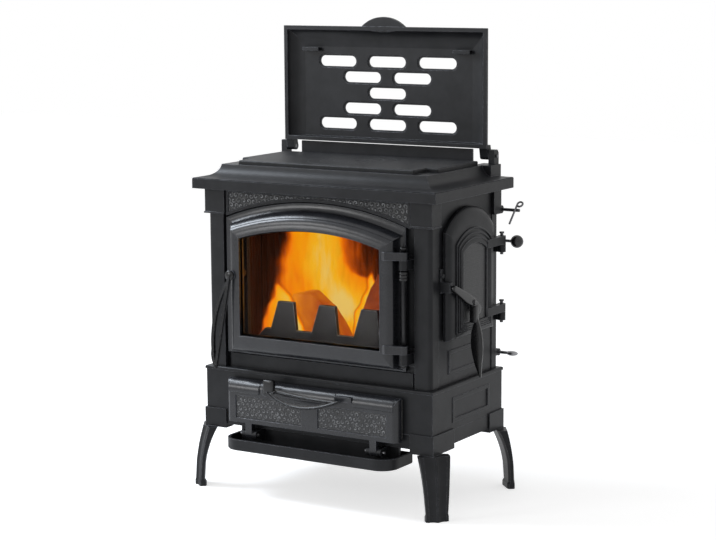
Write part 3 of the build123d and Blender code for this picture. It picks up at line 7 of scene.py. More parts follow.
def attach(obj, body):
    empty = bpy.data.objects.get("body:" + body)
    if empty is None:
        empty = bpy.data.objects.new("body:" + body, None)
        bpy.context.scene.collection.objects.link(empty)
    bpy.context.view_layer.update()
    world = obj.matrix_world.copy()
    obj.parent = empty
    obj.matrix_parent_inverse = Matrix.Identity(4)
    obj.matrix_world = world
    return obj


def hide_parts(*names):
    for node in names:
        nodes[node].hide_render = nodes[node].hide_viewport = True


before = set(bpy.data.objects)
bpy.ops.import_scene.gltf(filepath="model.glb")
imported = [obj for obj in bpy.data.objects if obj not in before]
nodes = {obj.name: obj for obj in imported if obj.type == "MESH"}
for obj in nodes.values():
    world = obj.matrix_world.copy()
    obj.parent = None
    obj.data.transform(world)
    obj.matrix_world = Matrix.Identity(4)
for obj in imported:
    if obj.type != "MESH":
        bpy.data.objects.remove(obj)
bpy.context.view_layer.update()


# Legs: four cabriole castings, bolted up under the corners of the base.
# Sand-cast iron under a satin anthracite stove enamel; the paint is thinnest on the arrises, and their pale colour is
# partly that wear and partly a painted highlight.
def feed(tree, node, sockets):
    """Fills a node's sockets: another node's output is joined, and any other value is set."""
    for key, value in sockets.items():
        if isinstance(value, bpy.types.NodeSocket):
            tree.links.new(value, node.inputs[key])
        else:
            node.inputs[key].default_value = value


def put(tree, kind, sockets=None, **settings):
    """Adds one shader node with its settings and feeds its sockets."""
    made = tree.nodes.new(kind)
    for key, value in settings.items():
        setattr(made, key, value)
    feed(tree, made, sockets or {})
    return made


def new_finish(name):
    """A new finish: its material, its node tree, its Principled shader joined to the output, and object coordinates."""
    finish = bpy.data.materials.new(name)
    finish.use_nodes = True
    tree = finish.node_tree
    tree.nodes.clear()
    shader = put(tree, "ShaderNodeBsdfPrincipled")
    put(tree, "ShaderNodeOutputMaterial", {"Surface": shader.outputs["BSDF"]})
    return finish, tree, shader, put(tree, "ShaderNodeTexCoord").outputs["Object"]


def speckle(tree, place, size, detail=3.0, roughness=0.55, stretch=None):
    """Noise whose lumps are about size metres across, stretched along an axis where stretch says so."""
    if stretch:
        place = put(tree, "ShaderNodeMapping", {"Vector": place, "Scale": stretch}).outputs["Vector"]
    sockets = {"Vector": place, "Scale": 1.0 / size, "Detail": detail, "Roughness": roughness}
    return put(tree, "ShaderNodeTexNoise", sockets).outputs["Fac"]


def fade(tree, value, low, high, first=0.0, last=1.0):
    """Runs from first to last while value goes from low to high, and stays level outside."""
    sockets = {"Value": value, "From Min": low, "From Max": high, "To Min": first, "To Max": last}
    return put(tree, "ShaderNodeMapRange", sockets).outputs["Result"]


def maths(tree, operation, *values):
    """Result of one sum, product or other operation on sockets or numbers."""
    return put(tree, "ShaderNodeMath", dict(enumerate(values)), operation=operation).outputs[0]


def blend_colour(tree, share, first, last):
    """Colour between first and last by share."""
    return put(tree, "ShaderNodeMix", {0: share, 6: first, 7: last}, data_type="RGBA").outputs[2]


def relief(tree, height, depth, normal=None, strength=1.0):
    """Normal that stands for a height pattern of this depth in metres."""
    sockets = {"Height": height, "Distance": depth, "Strength": strength}
    if normal is not None:
        sockets["Normal"] = normal
    return put(tree, "ShaderNodeBump", sockets).outputs["Normal"]


def cast_iron(name, dark, pale, gloss=(0.34, 0.48), shine=0.2, arris=0.0018):
    """Painted sand casting: slow waves and fine grain as height, blotchy colour, arrises rounded and rubbed in spots.

    An arris shows where the rounded normal turns away from the face, and chips of noise share out how far it is painted
    pale: partly rubbed wear, partly a painted highlight that also falls on hollow arrises.
    """
    blotch_size, wave_size, chip_size, sand_size = 0.055, 0.03, 0.012, 0.0011
    wave_depth, sand_depth = 0.0006, 0.0001
    rubbed_highlight_gain = 11.0
    unturned, turned_away = 0.995, 0.90
    finish, tree, shader, place = new_finish(name)
    blotch = speckle(tree, place, blotch_size, 4.0)
    sand = speckle(tree, place, sand_size, 2.0, 0.6)
    waves = speckle(tree, place, wave_size, 2.0)
    rounded = put(tree, "ShaderNodeBevel", {"Radius": arris}, samples=4).outputs["Normal"]
    face = put(tree, "ShaderNodeNewGeometry").outputs["Normal"]
    turn = put(tree, "ShaderNodeVectorMath", {0: rounded, 1: face}, operation="DOT_PRODUCT").outputs["Value"]
    chips = fade(tree, speckle(tree, place, chip_size, 4.0, 0.65), 0.42, 0.62, 0.25, 1.0)
    bent = fade(tree, turn, unturned, turned_away)
    rubbed_highlight = maths(tree, "MULTIPLY", bent, chips)
    colour = blend_colour(tree, fade(tree, blotch, 0.35, 0.65), (*dark, 1), (*pale, 1))
    # Painted highlight on the arrises, partly rubbed wear: their colour is eleven times the pale one.
    worn_highlight = tuple(rubbed_highlight_gain * part for part in pale)
    smooth = relief(tree, waves, wave_depth, rounded, 0.5)
    looks = {
        "Base Color": blend_colour(tree, rubbed_highlight, colour, (*worn_highlight, 1)),
        "Roughness": fade(tree, sand, 0.3, 0.7, *gloss),
        "Specular IOR Level": shine,
        "Normal": relief(tree, sand, sand_depth, smooth, 0.8),
    }
    feed(tree, shader, looks)
    return finish


def dress(finish, *names):
    """Gives CAD nodes their finish."""
    for name in names:
        for slot in nodes[name].material_slots:
            slot.material = finish


anthracite = cast_iron("anthracite_casting", (0.0095, 0.010, 0.0115), (0.0165, 0.017, 0.019))
dress(anthracite, "leg_front_left", "leg_front_right", "leg_rear_left", "leg_rear_right")


# Leg bolts: two hexagon screws through each leg's pad, up into the base plate.
# Drawn mild steel, left bright and lightly oiled; the die leaves fine lines along the bar.
def drawn_steel(name, colour, gloss=(0.24, 0.38), lines=(60.0, 60.0, 4.0)):
    """Bright bar: fine lines along one axis in height and gloss, with a faint uneven tarnish."""
    finish, tree, shader, place = new_finish(name)
    line_size, line_depth = 0.02, 0.00006
    tarnish_size, tarnish_dims = 0.03, 0.55
    drawn = speckle(tree, place, line_size, 3.0, 0.6, lines)
    tarnish = speckle(tree, place, tarnish_size, 4.0)
    dull = tuple(tarnish_dims * part for part in colour)
    looks = {
        "Base Color": blend_colour(tree, fade(tree, tarnish, 0.35, 0.7), (*colour, 1), (*dull, 1)),
        "Metallic": 0.95,
        "Roughness": fade(tree, drawn, 0.3, 0.7, *gloss),
        "Normal": relief(tree, drawn, line_depth),
    }
    feed(tree, shader, looks)
    return finish


dress(drawn_steel("bolt_steel", (0.10, 0.10, 0.105)), "leg_bolts")


# Base plate and plinth: the hearth box of the stove, heavy castings screwed together from inside.
# Same enamel as the legs.
dress(anthracite, "base_plate", "plinth")


# Firebox: ribbed cast liners, baffle, grate and hearth plate, laid in loose so that they can grow with the heat.
# Raw iron burnt brown, its red tint partly painted fire glow, and darker in the grooves between the ribs.
def burnt_iron(name, dark, pale):
    """Sooty casting: a sine of x + y stands for its upright ribs, in height and colour, darker in the grooves; streaked
    from dark to a red-brown that is partly painted fire glow, dull all over.
    """
    rib_pitch, rib_depth = 0.012, 0.0016
    streak_size, grain_size, grain_depth = 0.03, 0.0015, 0.0002
    finish, tree, shader, place = new_finish(name)
    split = put(tree, "ShaderNodeSeparateXYZ", {"Vector": place}).outputs
    along = maths(tree, "ADD", split["X"], split["Y"])
    ribs = maths(tree, "SINE", maths(tree, "MULTIPLY", along, 2 * np.pi / rib_pitch))
    streaks = speckle(tree, place, streak_size, 4.0, 0.6, (3.0, 3.0, 0.35))
    grain = speckle(tree, place, grain_size, 2.0)
    rib_tops_paler = fade(tree, ribs, -1.0, 1.0, 0.35, 1.0)
    share = maths(tree, "MULTIPLY", fade(tree, streaks, 0.3, 0.7), rib_tops_paler)
    ribbed = relief(tree, ribs, rib_depth, strength=0.8)
    looks = {
        "Base Color": blend_colour(tree, share, (*dark, 1), (*pale, 1)),
        "Roughness": fade(tree, grain, 0.3, 0.7, 0.75, 0.92),
        "Specular IOR Level": 0.15,
        "Normal": relief(tree, grain, grain_depth, ribbed, 0.7),
    }
    feed(tree, shader, looks)
    return finish


# The pale red-brown of the liners is partly painted fire glow.
burnt_liner_glow_tinted = burnt_iron("burnt_liner_glow_tinted", (0.02, 0.007, 0.004), (0.10, 0.030, 0.014))
sooty = cast_iron("sooty_casting", (0.02, 0.016, 0.014), (0.05, 0.04, 0.034), gloss=(0.7, 0.9))
scorched = cast_iron("fence_casting", (0.050, 0.046, 0.044), (0.080, 0.076, 0.074), gloss=(0.6, 0.8))
dress(burnt_liner_glow_tinted, "liner_left", "liner_right", "liner_back")
dress(sooty, "baffle", "grate", "hearth_plate")
dress(scorched, "log_fence")


# Ash drawer: folded sheet steel box that slides in under the grate.
# Matt heat paint, greyed by ash dust.
drawer_paint = cast_iron("drawer_paint", (0.03, 0.03, 0.031), (0.075, 0.073, 0.07), gloss=(0.6, 0.85), arris=0.0006)
dress(drawer_paint, "ash_drawer")


# Ember bed: the burnt-down wood on the grate, glowing in its cracks under grey ash.
# It lies loose on the grate, heaped in the middle.
def shell(name, body, finish, grids, replaced=(), marks=None, facing=None):
    """One mesh from grids of points in millimetres, with its finish, its body and the nodes that it stands for.

    Each grid is (points, rows closed, columns closed): four neighbouring points make a face, a closed way joins
    its end to its start, and points that fall together are merged. Faces look outwards, or towards facing.
    """
    corners, faces, first = [], [], 0
    for points, rows_closed, columns_closed in grids:
        rows, columns = points.shape[:2]
        number = first + np.arange(rows * columns).reshape(rows, columns)
        first += rows * columns
        if rows_closed:
            number = np.vstack((number, number[:1]))
        if columns_closed:
            number = np.hstack((number, number[:, :1]))
        quads = np.stack((number[:-1, :-1], number[:-1, 1:], number[1:, 1:], number[1:, :-1]), axis=-1)
        corners.append(points.reshape(-1, 3))
        faces.append(quads.reshape(-1, 4))
    mesh = bpy.data.meshes.new(name)
    mesh.from_pydata((np.concatenate(corners) * 0.001).tolist(), [], np.concatenate(faces).tolist())
    for mark, values in (marks or {}).items():
        mesh.attributes.new(mark, "FLOAT", "POINT").data.foreach_set("value", np.ravel(values).astype(np.float32))
    work = bmesh.new()
    work.from_mesh(mesh)
    bmesh.ops.remove_doubles(work, verts=work.verts, dist=1e-6)
    if facing is None:
        bmesh.ops.recalc_face_normals(work, faces=work.faces)
    work.to_mesh(mesh)
    work.free()
    if facing is not None:
        normals = np.empty(3 * len(mesh.polygons))
        mesh.polygons.foreach_get("normal", normals)
        if normals.reshape(-1, 3).sum(axis=0) @ np.array(facing) < 0:
            mesh.flip_normals()
    mesh.polygons.foreach_set("use_smooth", np.ones(len(mesh.polygons), bool))
    mesh.materials.append(finish)
    piece = bpy.data.objects.new(name, mesh)
    bpy.context.scene.collection.objects.link(piece)
    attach(piece, body)
    if replaced:
        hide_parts(*replaced)


def lumps(across, up, pitch, seed):
    """Rounded lumps about pitch wide, from 0 to 1: sines at six slanting angles, added and squared."""
    chance = np.random.default_rng(seed)
    total = np.zeros(np.broadcast(across, up).shape)
    for turn, phase in zip(chance.uniform(0, np.pi, 6), chance.uniform(0, 2 * np.pi, 6)):
        total += np.sin((across * np.cos(turn) + up * np.sin(turn)) * 2 * np.pi / pitch + phase)
    return np.clip(0.5 + total / 6, 0, 1) ** 2


def glowing(name, cool, hot, crack, low, high):
    """Burning wood or embers over charred colour: emission runs from cool to hot by the warmth mark plus cracks.

    The cracks are noise crack metres across, and count from -0.35 to 0.35 as it goes from low to high.
    """
    crack_share, crack_depth = 0.35, 0.003
    finish, tree, shader, place = new_finish(name)
    veins = speckle(tree, place, crack, 5.0, 0.65)
    heat = put(tree, "ShaderNodeAttribute", attribute_name="warmth").outputs["Fac"]
    share = maths(tree, "ADD", heat, fade(tree, veins, low, high, -crack_share, crack_share))
    looks = {
        "Base Color": (0.02, 0.012, 0.008, 1),
        "Roughness": 0.9,
        "Specular IOR Level": 0.1,
        "Emission Strength": 1.0,
        "Emission Color": blend_colour(tree, fade(tree, share, 0.0, 1.0), (*cool, 1), (*hot, 1)),
        "Normal": relief(tree, veins, crack_depth),
    }
    feed(tree, shader, looks)
    return finish


# The heap rises by the fourth power from its rim, with broad and small lumps on it.
bed_half_x, bed_half_y = 205, 118
bed_under, bed_rim = 320.2, 320.4
heap, lump_height = 9, 15
bed_x, bed_y = np.meshgrid(np.linspace(-bed_half_x, bed_half_x, 165), np.linspace(-bed_half_y, bed_half_y, 95))
bed_rise = np.clip(1 - np.abs(bed_x / bed_half_x) ** 4, 0, 1) * np.clip(1 - np.abs(bed_y / bed_half_y) ** 4, 0, 1)
bed_lumps = lumps(bed_x, bed_y, 31, 4) * 0.7 + lumps(bed_x, bed_y, 14, 5) * 0.3
bed_z = bed_rim + bed_rise * (heap + lump_height * bed_lumps)
bed_finish = glowing("ember_bed", (0.20, 0.02, 0.001), (0.90, 0.30, 0.02), 0.012, 0.35, 0.65)
bed = np.stack((bed_x, bed_y, bed_z), axis=-1)
under = np.stack((bed_x, bed_y, np.full_like(bed_x, bed_under)), axis=-1)[:, ::-1]
shell(
    "ember_bed",
    "stove_body",
    bed_finish,
    [(bed, False, False), (under, False, False)],
    marks={"warmth": np.concatenate(((0.9 - 0.8 * bed_lumps).ravel(), np.zeros(under[:, :, 0].size)))},
)


# Logs: two split beech logs standing in the fire, burning on every side.
# They rest on the ember bed and lean on the back of the log fence.
def carried(corners, count):
    """Count points at even steps along a line of corners."""
    corners = np.asarray(corners, float)
    travelled = np.concatenate(([0], np.cumsum(np.linalg.norm(np.diff(corners, axis=0), axis=1))))
    steps = np.linspace(0, travelled[-1], count)
    return np.stack([np.interp(steps, travelled, corners[:, axis]) for axis in range(corners.shape[1])], axis=-1)


def split_log(outline, front, back, seed):
    """Log cut to an outline in x and z: rings of it from front to back, waved like bark, closed at both ends.

    The rings at both ends draw in to their middle. The wave is lumps of the way round and a sixth of the depth.
    """
    around, slices = 120, 26
    rounding, end_size, bark = 1.5, 0.975, 0.035
    ring = carried(np.vstack((outline, outline[:1])), around + 1)[:-1]
    middle = ring.mean(axis=0)
    depths = np.concatenate(([front, front], np.linspace(front + rounding, back - rounding, slices), [back, back]))
    sizes = np.concatenate(([0.0, end_size], np.full(slices, 1.0), [end_size, 0.0]))
    turn = np.arange(around) / around * 60
    wave = 1 + bark * (lumps(turn[None, :], depths[:, None] / 6, 4.0, seed) - 0.4)
    spread = (ring - middle)[None, :, :] * (sizes[:, None] * wave)[:, :, None]
    spots = np.empty((len(depths), around, 3))
    spots[:, :, 0] = middle[0] + spread[:, :, 0]
    spots[:, :, 1] = depths[:, None]
    spots[:, :, 2] = middle[1] + spread[:, :, 1]
    return spots


tall_log = split_log(
    np.array([(-128, 328), (-118, 440), (-107, 496), (-57, 501), (-12, 468), (30, 415), (62, 352), (64, 328)]),
    front=-108,
    back=-62,
    seed=6,
)
tall_finish = glowing("burning_log", (0.47, 0.075, 0.006), (0.88, 0.26, 0.008), 0.030, 0.3, 0.7)
tall_heat = np.clip(0.85 - (tall_log[:, :, 0] + 110) / 110, 0.05, 1.0)
shell("tall_log", "stove_body", tall_finish, [(tall_log, False, True)], marks={"warmth": tall_heat})
side_log = split_log(
    np.array([(74, 328), (68, 400), (84, 452), (104, 505), (134, 560), (176, 566), (190, 470), (186, 328)]),
    front=-104,
    back=-52,
    seed=8,
)
side_heat = np.clip(0.35 + (420 - side_log[:, :, 2]) / 300, 0.0, 0.7)
side_finish = glowing("smouldering_log", (0.23, 0.035, 0.008), (0.60, 0.10, 0.008), 0.026, 0.3, 0.7)
shell("side_log", "stove_body", side_finish, [(side_log, False, True)], marks={"warmth": side_heat})


# Flames: hot gas that stands over the logs and is drawn back under the baffle.
# Thin wavering sheets that give their own light and let the liners show through at their ragged edges.
def flame(name, depth, left_edge, right_edge, core, spots, soft, level=0.5):
    """Sheet at a depth between two edges, each a list of (z, x): warmth rises inside the edges and round the core.

    It eases in over the soft widths, with a bell of core_gain along the core and one of its own at each spot, given
    as (x, z, width, height, gain). The edges sway by two sines of the height.
    """
    foot, top = 330, 694
    core_width, core_gain = 52, 0.34
    across, up = np.meshgrid(np.linspace(-250, 172, 150), np.linspace(foot, top, 130))
    sway = 3.5 * np.sin(up / 17) + 2.0 * np.sin(up / 7.3 + across / 30)
    sides = [np.interp(up, *np.array(edge, float).T) for edge in (left_edge, right_edge, core)]
    inside = np.clip((across + sway - sides[0]) / soft[0], 0, 1) * np.clip((sides[1] - across - sway) / soft[1], 0, 1)
    inside = inside * inside * (3 - 2 * inside)
    heat = inside * (level + core_gain * np.exp(-(((across - sides[2]) / core_width) ** 2)))
    for spot_x, spot_z, wide, tall, gain in spots:
        heat += gain * inside * np.exp(-(((across - spot_x) / wide) ** 2) - ((up - spot_z) / tall) ** 2)
    ripple = depth + 5 * np.sin(across / 23 + up / 60)
    sheet = np.stack((across, ripple, up), axis=-1)
    finish, tree, shader, place = new_finish(name + "_light")
    tree.nodes.remove(shader)
    licks = speckle(tree, place, 0.035, 4.0, 0.6, (2.2, 1.0, 0.55))
    mark = put(tree, "ShaderNodeAttribute", attribute_name="warmth").outputs["Fac"]
    warm = maths(tree, "ADD", mark, fade(tree, licks, 0.3, 0.7, -0.10, 0.10))
    ramp = put(tree, "ShaderNodeValToRGB", {"Fac": warm})
    stops = (
        (0.00, (0.20, 0.036, 0.008)),
        (0.22, (0.66, 0.090, 0.003)),
        (0.42, (0.93, 0.180, 0.002)),
        (0.62, (0.98, 0.335, 0.002)),
        (0.82, (0.95, 0.470, 0.015)),
        (1.00, (0.86, 0.560, 0.130)),
    )
    while len(ramp.color_ramp.elements) < len(stops):
        ramp.color_ramp.elements.new(0.5)
    for stop, (place_on_ramp, colour) in zip(ramp.color_ramp.elements, stops):
        stop.position = place_on_ramp
        stop.color = (*colour, 1)
    brightness = 1.1
    light = put(tree, "ShaderNodeEmission", {"Color": ramp.outputs["Color"], "Strength": brightness})
    clear = put(tree, "ShaderNodeBsdfTransparent")
    thick = maths(tree, "ADD", mark, fade(tree, licks, 0.3, 0.7, -0.06, 0.06))
    share = fade(tree, thick, 0.02, 0.46)
    mixed = put(tree, "ShaderNodeMixShader", {0: share, 1: clear.outputs[0], 2: light.outputs[0]})
    tree.links.new(mixed.outputs[0], tree.nodes["Material Output"].inputs["Surface"])
    shell(name, "stove_body", finish, [(sheet, False, False)], marks={"warmth": heat}, facing=(0, -1, 0))


flame(
    "tall_flames",
    -42,
    [(330, -282), (400, -262), (430, -250), (460, -228), (559, -208), (646, -182), (694, -166)],
    [(330, 130), (445, 124), (510, 112), (538, 100), (548, 70), (575, 38), (632, 26), (694, 14)],
    [(330, -90), (400, -80), (466, -20), (548, -62), (623, -64), (694, -60)],
    [(4, 462, 40, 54, 0.26), (-127, 385, 40, 60, 0.2), (45, 440, 44, 50, 0.2), (-60, 560, 60, 60, 0.08)],
    (46, 52),
)
flame(
    "back_glow",
    30,
    [(330, -300), (400, -290), (559, -258), (646, -236), (694, -225)],
    [(330, 120), (445, 110), (574, 84), (694, 60)],
    [(330, -120), (694, -100)],
    [],
    (110, 130),
    0.26,
)
flame(
    "side_flames",
    -74,
    [(330, 20), (440, 44), (500, 70), (560, 92), (694, 140)],
    [(330, 190), (440, 180), (500, 132), (540, 112), (572, 101), (694, 60)],
    [(330, 60), (560, 96), (694, 96)],
    [],
    (14, 12),
)
flame(
    "low_flames",
    -116,
    [(330, -232), (372, -214), (423, -196), (470, -176), (500, -168), (694, -150)],
    [(330, -52), (392, -54), (440, -64), (490, -92), (520, -138), (560, -158), (694, -170)],
    [(330, -92), (392, -90), (470, -120), (694, -130)],
    [(-88, 378, 26, 52, 0.55), (-96, 430, 30, 50, 0.1)],
    (18, 34),
)


# Panels and corner columns: the four posts and the castings between them, drawn up by tie rods inside.
# Same anthracite enamel.
dress(
    anthracite,
    "column_front_left",
    "column_front_right",
    "column_rear_left",
    "column_rear_right",
    "right_side_frame",
    "left_side_panel",
    "back_panel",
    "front_frame",
)


# Frieze: curled acanthus scrolls cast in low relief in the two spandrels over the door.
# Part of the front frame's casting; the leaf ridges are painted pale, partly as rubbed wear and partly as a painted
# highlight.
def curled_leaves(across, up, pitch):
    """Height from 0 to 1: on a staggered net a ridge winds in round each point, turning left and right by turns.

    The ridge is a cosine of the angle less a share of the reach, with seven finer veins, and fades at the reach's rim.
    """
    row_pitch, leaf_reach = 0.86 * pitch, 0.56 * pitch
    windings, vein_count, vein_share = 1.15, 7, 0.28
    row = np.round(up / row_pitch)
    shift = 0.5 * pitch * (row % 2)
    column = np.round((across - shift) / pitch)
    aside = across - shift - column * pitch
    above = up - row * row_pitch
    reach = np.hypot(aside, above) / leaf_reach
    angle = np.arctan2(above, aside) * (1 - 2 * ((column + row) % 2))
    ridge = 0.5 + 0.5 * np.cos(angle - 2 * np.pi * windings * reach + 1.7 * column + row)
    veins = 0.5 + 0.5 * np.cos(vein_count * angle + 9 * reach)
    rim = np.clip(1.18 - reach, 0, 1) ** 0.7
    return rim * ((1 - vein_share) * ridge**1.3 + vein_share * veins * np.clip(reach, 0, 1))


def rim_fade(*gaps, width):
    """Share from 0 at a relief's edge to 1 at width inside it, from its distances to the edges."""
    return np.clip(np.minimum.reduce(gaps) / width, 0, 1)


def highlit_relief_iron(name, hollow, ridge):
    """Cast relief under enamel: hollows dark, ridges painted pale by the height mark, partly rubbed wear and partly a
    painted highlight, sand grain all over.
    """
    sand_size, sand_depth, patch_size = 0.0011, 0.00012, 0.02
    finish, tree, shader, place = new_finish(name)
    raised = put(tree, "ShaderNodeAttribute", attribute_name="raised").outputs["Fac"]
    sand = speckle(tree, place, sand_size, 2.0)
    patchy = speckle(tree, place, patch_size, 3.0)
    # Painted highlight on the ridges, partly rubbed wear: the higher the relief, the paler its colour.
    share = maths(tree, "MULTIPLY", raised, fade(tree, patchy, 0.3, 0.7, 0.6, 1.1))
    looks = {
        "Base Color": blend_colour(tree, fade(tree, share, 0.28, 0.62), (*hollow, 1), (*ridge, 1)),
        "Roughness": fade(tree, sand, 0.3, 0.7, 0.34, 0.5),
        "Specular IOR Level": 0.5,
        "Normal": relief(tree, sand, sand_depth, strength=0.8),
    }
    feed(tree, shader, looks)
    return finish


highlit_scrolls = highlit_relief_iron("scrolled_casting_highlit", (0.008, 0.0085, 0.0095), (0.25, 0.255, 0.265))
arch_centre = -14.0
frieze_half, frieze_top, frieze_arch = 256.0, 745.8, 754.0
frieze_face, frieze_height, frieze_pitch, seam = -165.7, 2.4, 15.0, 0.2
frieze_x, frieze_share = np.meshgrid(
    np.linspace(-frieze_half + 2 * seam, frieze_half - 2 * seam, 420), np.linspace(0, 1, 44)
)
frieze_low = np.sqrt(frieze_arch**2 - frieze_x**2) + arch_centre
frieze_z = frieze_low + seam + frieze_share * (frieze_top - frieze_low - seam)
frieze_edge = rim_fade(frieze_half - np.abs(frieze_x), width=2.5) * rim_fade(
    frieze_share * (frieze_top - frieze_low), (1 - frieze_share) * (frieze_top - frieze_low), width=2.0
)
frieze_raised = curled_leaves(frieze_x, frieze_z - 700, frieze_pitch) * frieze_edge
frieze_relief = np.stack((frieze_x, frieze_face - frieze_height * frieze_raised, frieze_z), axis=-1)
shell(
    "frieze_scrolls",
    "stove_body",
    highlit_scrolls,
    [(frieze_relief, False, False)],
    marks={"raised": frieze_raised},
    facing=(0, -1, 0),
)


# Cornice, hotplate and the cooking rings: machined flat on top, loose in their seats.
# Anthracite enamel outside, the rings a little drier from the heat.
plate_iron = cast_iron("hotplate_casting", (0.012, 0.0125, 0.0135), (0.020, 0.0205, 0.022), gloss=(0.44, 0.6))
dress(anthracite, "cornice", "rear_rail")
dress(plate_iron, "hotplate", "outer_ring", "inner_ring", "ring_cap")


# Lid: cast cover that swings up on two pins in the hinge blocks, held by its pegs when it is down.
# The inside, seen when it stands open, has the same enamel.
dress(anthracite, "lid", "lid_pegs", "lid_hinge_blocks")
bright_pin = drawn_steel("pin_steel", (0.16, 0.16, 0.17), lines=(4.0, 60.0, 60.0))
dress(bright_pin, "lid_pins")


# Main door: arched casting with a cove and a broad quarter-round moulding over the glass, hung on two straps.
# Satin enamel, a little shinier than on the body. The moulding is part of the casting and dies into the stiles.
moulded = cast_iron("moulded_casting", (0.0115, 0.012, 0.015), (0.018, 0.019, 0.0225), gloss=(0.22, 0.32), shine=0.42)
dress(moulded, "main_door")


def capped(walls):
    """Walls whose first and last rings are closed by faces that run to their middle points."""
    return np.concatenate(
        (
            np.broadcast_to(walls[:1].mean(axis=1, keepdims=True), walls[:1].shape),
            walls,
            np.broadcast_to(walls[-1:].mean(axis=1, keepdims=True), walls[-1:].shape),
        )
    )


# The moulding's section is a quarter of an ellipse from the glass edge outwards, closed by a back inside the casting.
glass_half, glass_arch = 200, 682
arch_wide, arch_foot, arch_bulge = 43, 171.6, 34.8
swell = np.linspace(0.01, np.pi / 2, 22)
arch_out = np.concatenate((arch_wide * np.sin(swell), [arch_wide, 32, 21.5, 0.43]))
arch_forward = np.concatenate((arch_foot + arch_bulge * np.cos(swell), [166, 178.5, 190.5, 200]))
arch_across = np.linspace(-1, 1, 160)[:, None] * (glass_half + arch_out)
arch_up = np.sqrt((glass_arch + arch_out) ** 2 - arch_across**2) + arch_centre
arch_walls = np.stack((arch_across, np.broadcast_to(-arch_forward, arch_across.shape), arch_up), axis=-1)
shell("door_arch_moulding", "main_door", moulded, [(capped(arch_walls), False, True)])


# Fittings: ears of the hinge rod, lugs of the ash door's pins, eyes and guides of the air rods, and the flue outlet.
# Small castings in the same enamel, bolted on from inside.
dress(anthracite, "hinge_ears", "pin_lugs", "rod_eyes", "register_guides", "smoke_outlet", "flue_collar")


# Door glass: a 4 mm ceramic pane held from behind by a steel frame.
# Clear, with a faint patchy bloom from smoke.
pane, pane_tree, pane_shader, pane_place = new_finish("ceramic_pane")
pane_bloom = fade(pane_tree, speckle(pane_tree, pane_place, 0.05, 4.0), 0.45, 0.8, 0.0, 0.03)
feed(pane_tree, pane_shader, {"Transmission Weight": 1.0, "IOR": 1.08, "Roughness": pane_bloom})
dress(pane, "door_glass")
dress(drawn_steel("retainer_steel", (0.20, 0.19, 0.18), gloss=(0.4, 0.6)), "glass_retainer")


# Door ropes: three-strand glass fibre rope, pressed and glued into the groove at the back of each door.
# Off-white when new, soon greyed by smoke; it squashes flat against the frame.
def unit(vectors):
    """Vectors brought to length 1."""
    return vectors / np.linalg.norm(vectors, axis=-1, keepdims=True)


def rope(name, body, replaced, route, thickness, across, normal):
    """Three strands laid round a closed flat route: each strand's middle circles the route once in a lay.

    The route's corners are eased by averaging neighbours, and a strand's section is an ellipse of eight points.
    """
    lay, step, strands, easings = 11.0, 1.4, 3, 6
    off_across, off_through = 0.24 * across, 0.22 * thickness
    half_across, half_through = 0.26 * across, 0.28 * thickness
    ends = np.vstack((route, route[:1]))
    count = int(np.linalg.norm(np.diff(ends, axis=0), axis=1).sum() / step)
    line = carried(ends, count + 1)[:-1]
    for _ in range(easings):
        line = (np.roll(line, 1, axis=0) + 2 * line + np.roll(line, -1, axis=0)) / 4
    tangent = unit(np.roll(line, -1, axis=0) - np.roll(line, 1, axis=0))
    normal = np.asarray(normal, float)
    aside = np.cross(tangent, normal)
    length = np.linalg.norm(np.diff(np.vstack((line, line[:1])), axis=0), axis=1).sum()
    turns = np.round(length / lay) * 2 * np.pi * np.arange(count) / count
    ring = np.arange(8) / 8 * 2 * np.pi
    grids = []
    for strand in range(strands):
        phase = turns + strand * 2 * np.pi / strands
        middle = line + aside * (off_across * np.cos(phase))[:, None]
        middle = middle + normal * (off_through * np.sin(phase))[:, None]
        wall = middle[:, None, :] + aside[:, None, :] * (half_across * np.cos(ring))[None, :, None]
        wall = wall + normal * (half_through * np.sin(ring))[None, :, None]
        grids.append((wall, True, True))
    shell(name, body, fibre, grids, replaced=(replaced,))


def fibre_rope(name, pale, dark):
    """Woven glass yarn: crossing threads as height and shade, smoke in patches, no gloss."""
    threads_in_metre, thread_depth, smoke_size = 330.0, 0.0003, 0.04
    finish, tree, shader, place = new_finish(name)
    wave = {"Vector": place, "Scale": threads_in_metre, "Distortion": 1.5, "Detail": 1.0}
    threads = [put(tree, "ShaderNodeTexWave", wave, bands_direction=way).outputs["Fac"] for way in ("DIAGONAL", "Z")]
    weave = maths(tree, "MULTIPLY", *threads)
    smoke = speckle(tree, place, smoke_size, 4.0)
    shade = maths(tree, "MULTIPLY", weave, fade(tree, smoke, 0.3, 0.7, 0.4, 1.0))
    looks = {
        "Base Color": blend_colour(tree, shade, (*dark, 1), (*pale, 1)),
        "Roughness": 0.92,
        "Sheen Weight": 0.25,
        "Normal": relief(tree, weave, thread_depth),
    }
    feed(tree, shader, looks)
    return finish


fibre = fibre_rope("smoked_glass_fibre", (0.30, 0.29, 0.27), (0.07, 0.066, 0.06))


def arched_route(half, bottom, crown, radius):
    """Outline with straight sides and foot and an arc of the given radius on top, as (across, up)."""
    arch = np.linspace(half, -half, 60)
    over = crown - radius + np.sqrt(radius**2 - arch**2)
    return np.vstack(([(-half, bottom), (half, bottom)], np.stack((arch, over), axis=-1)))


rope_width, squashed = 8.0, 3.7
door_groove = -152.15
door_route = np.insert(arched_route(237, 354, 704, 718), 1, door_groove, axis=1)
rope("door_rope", "main_door", "door_gasket", door_route, squashed, rope_width, (0, -1, 0))


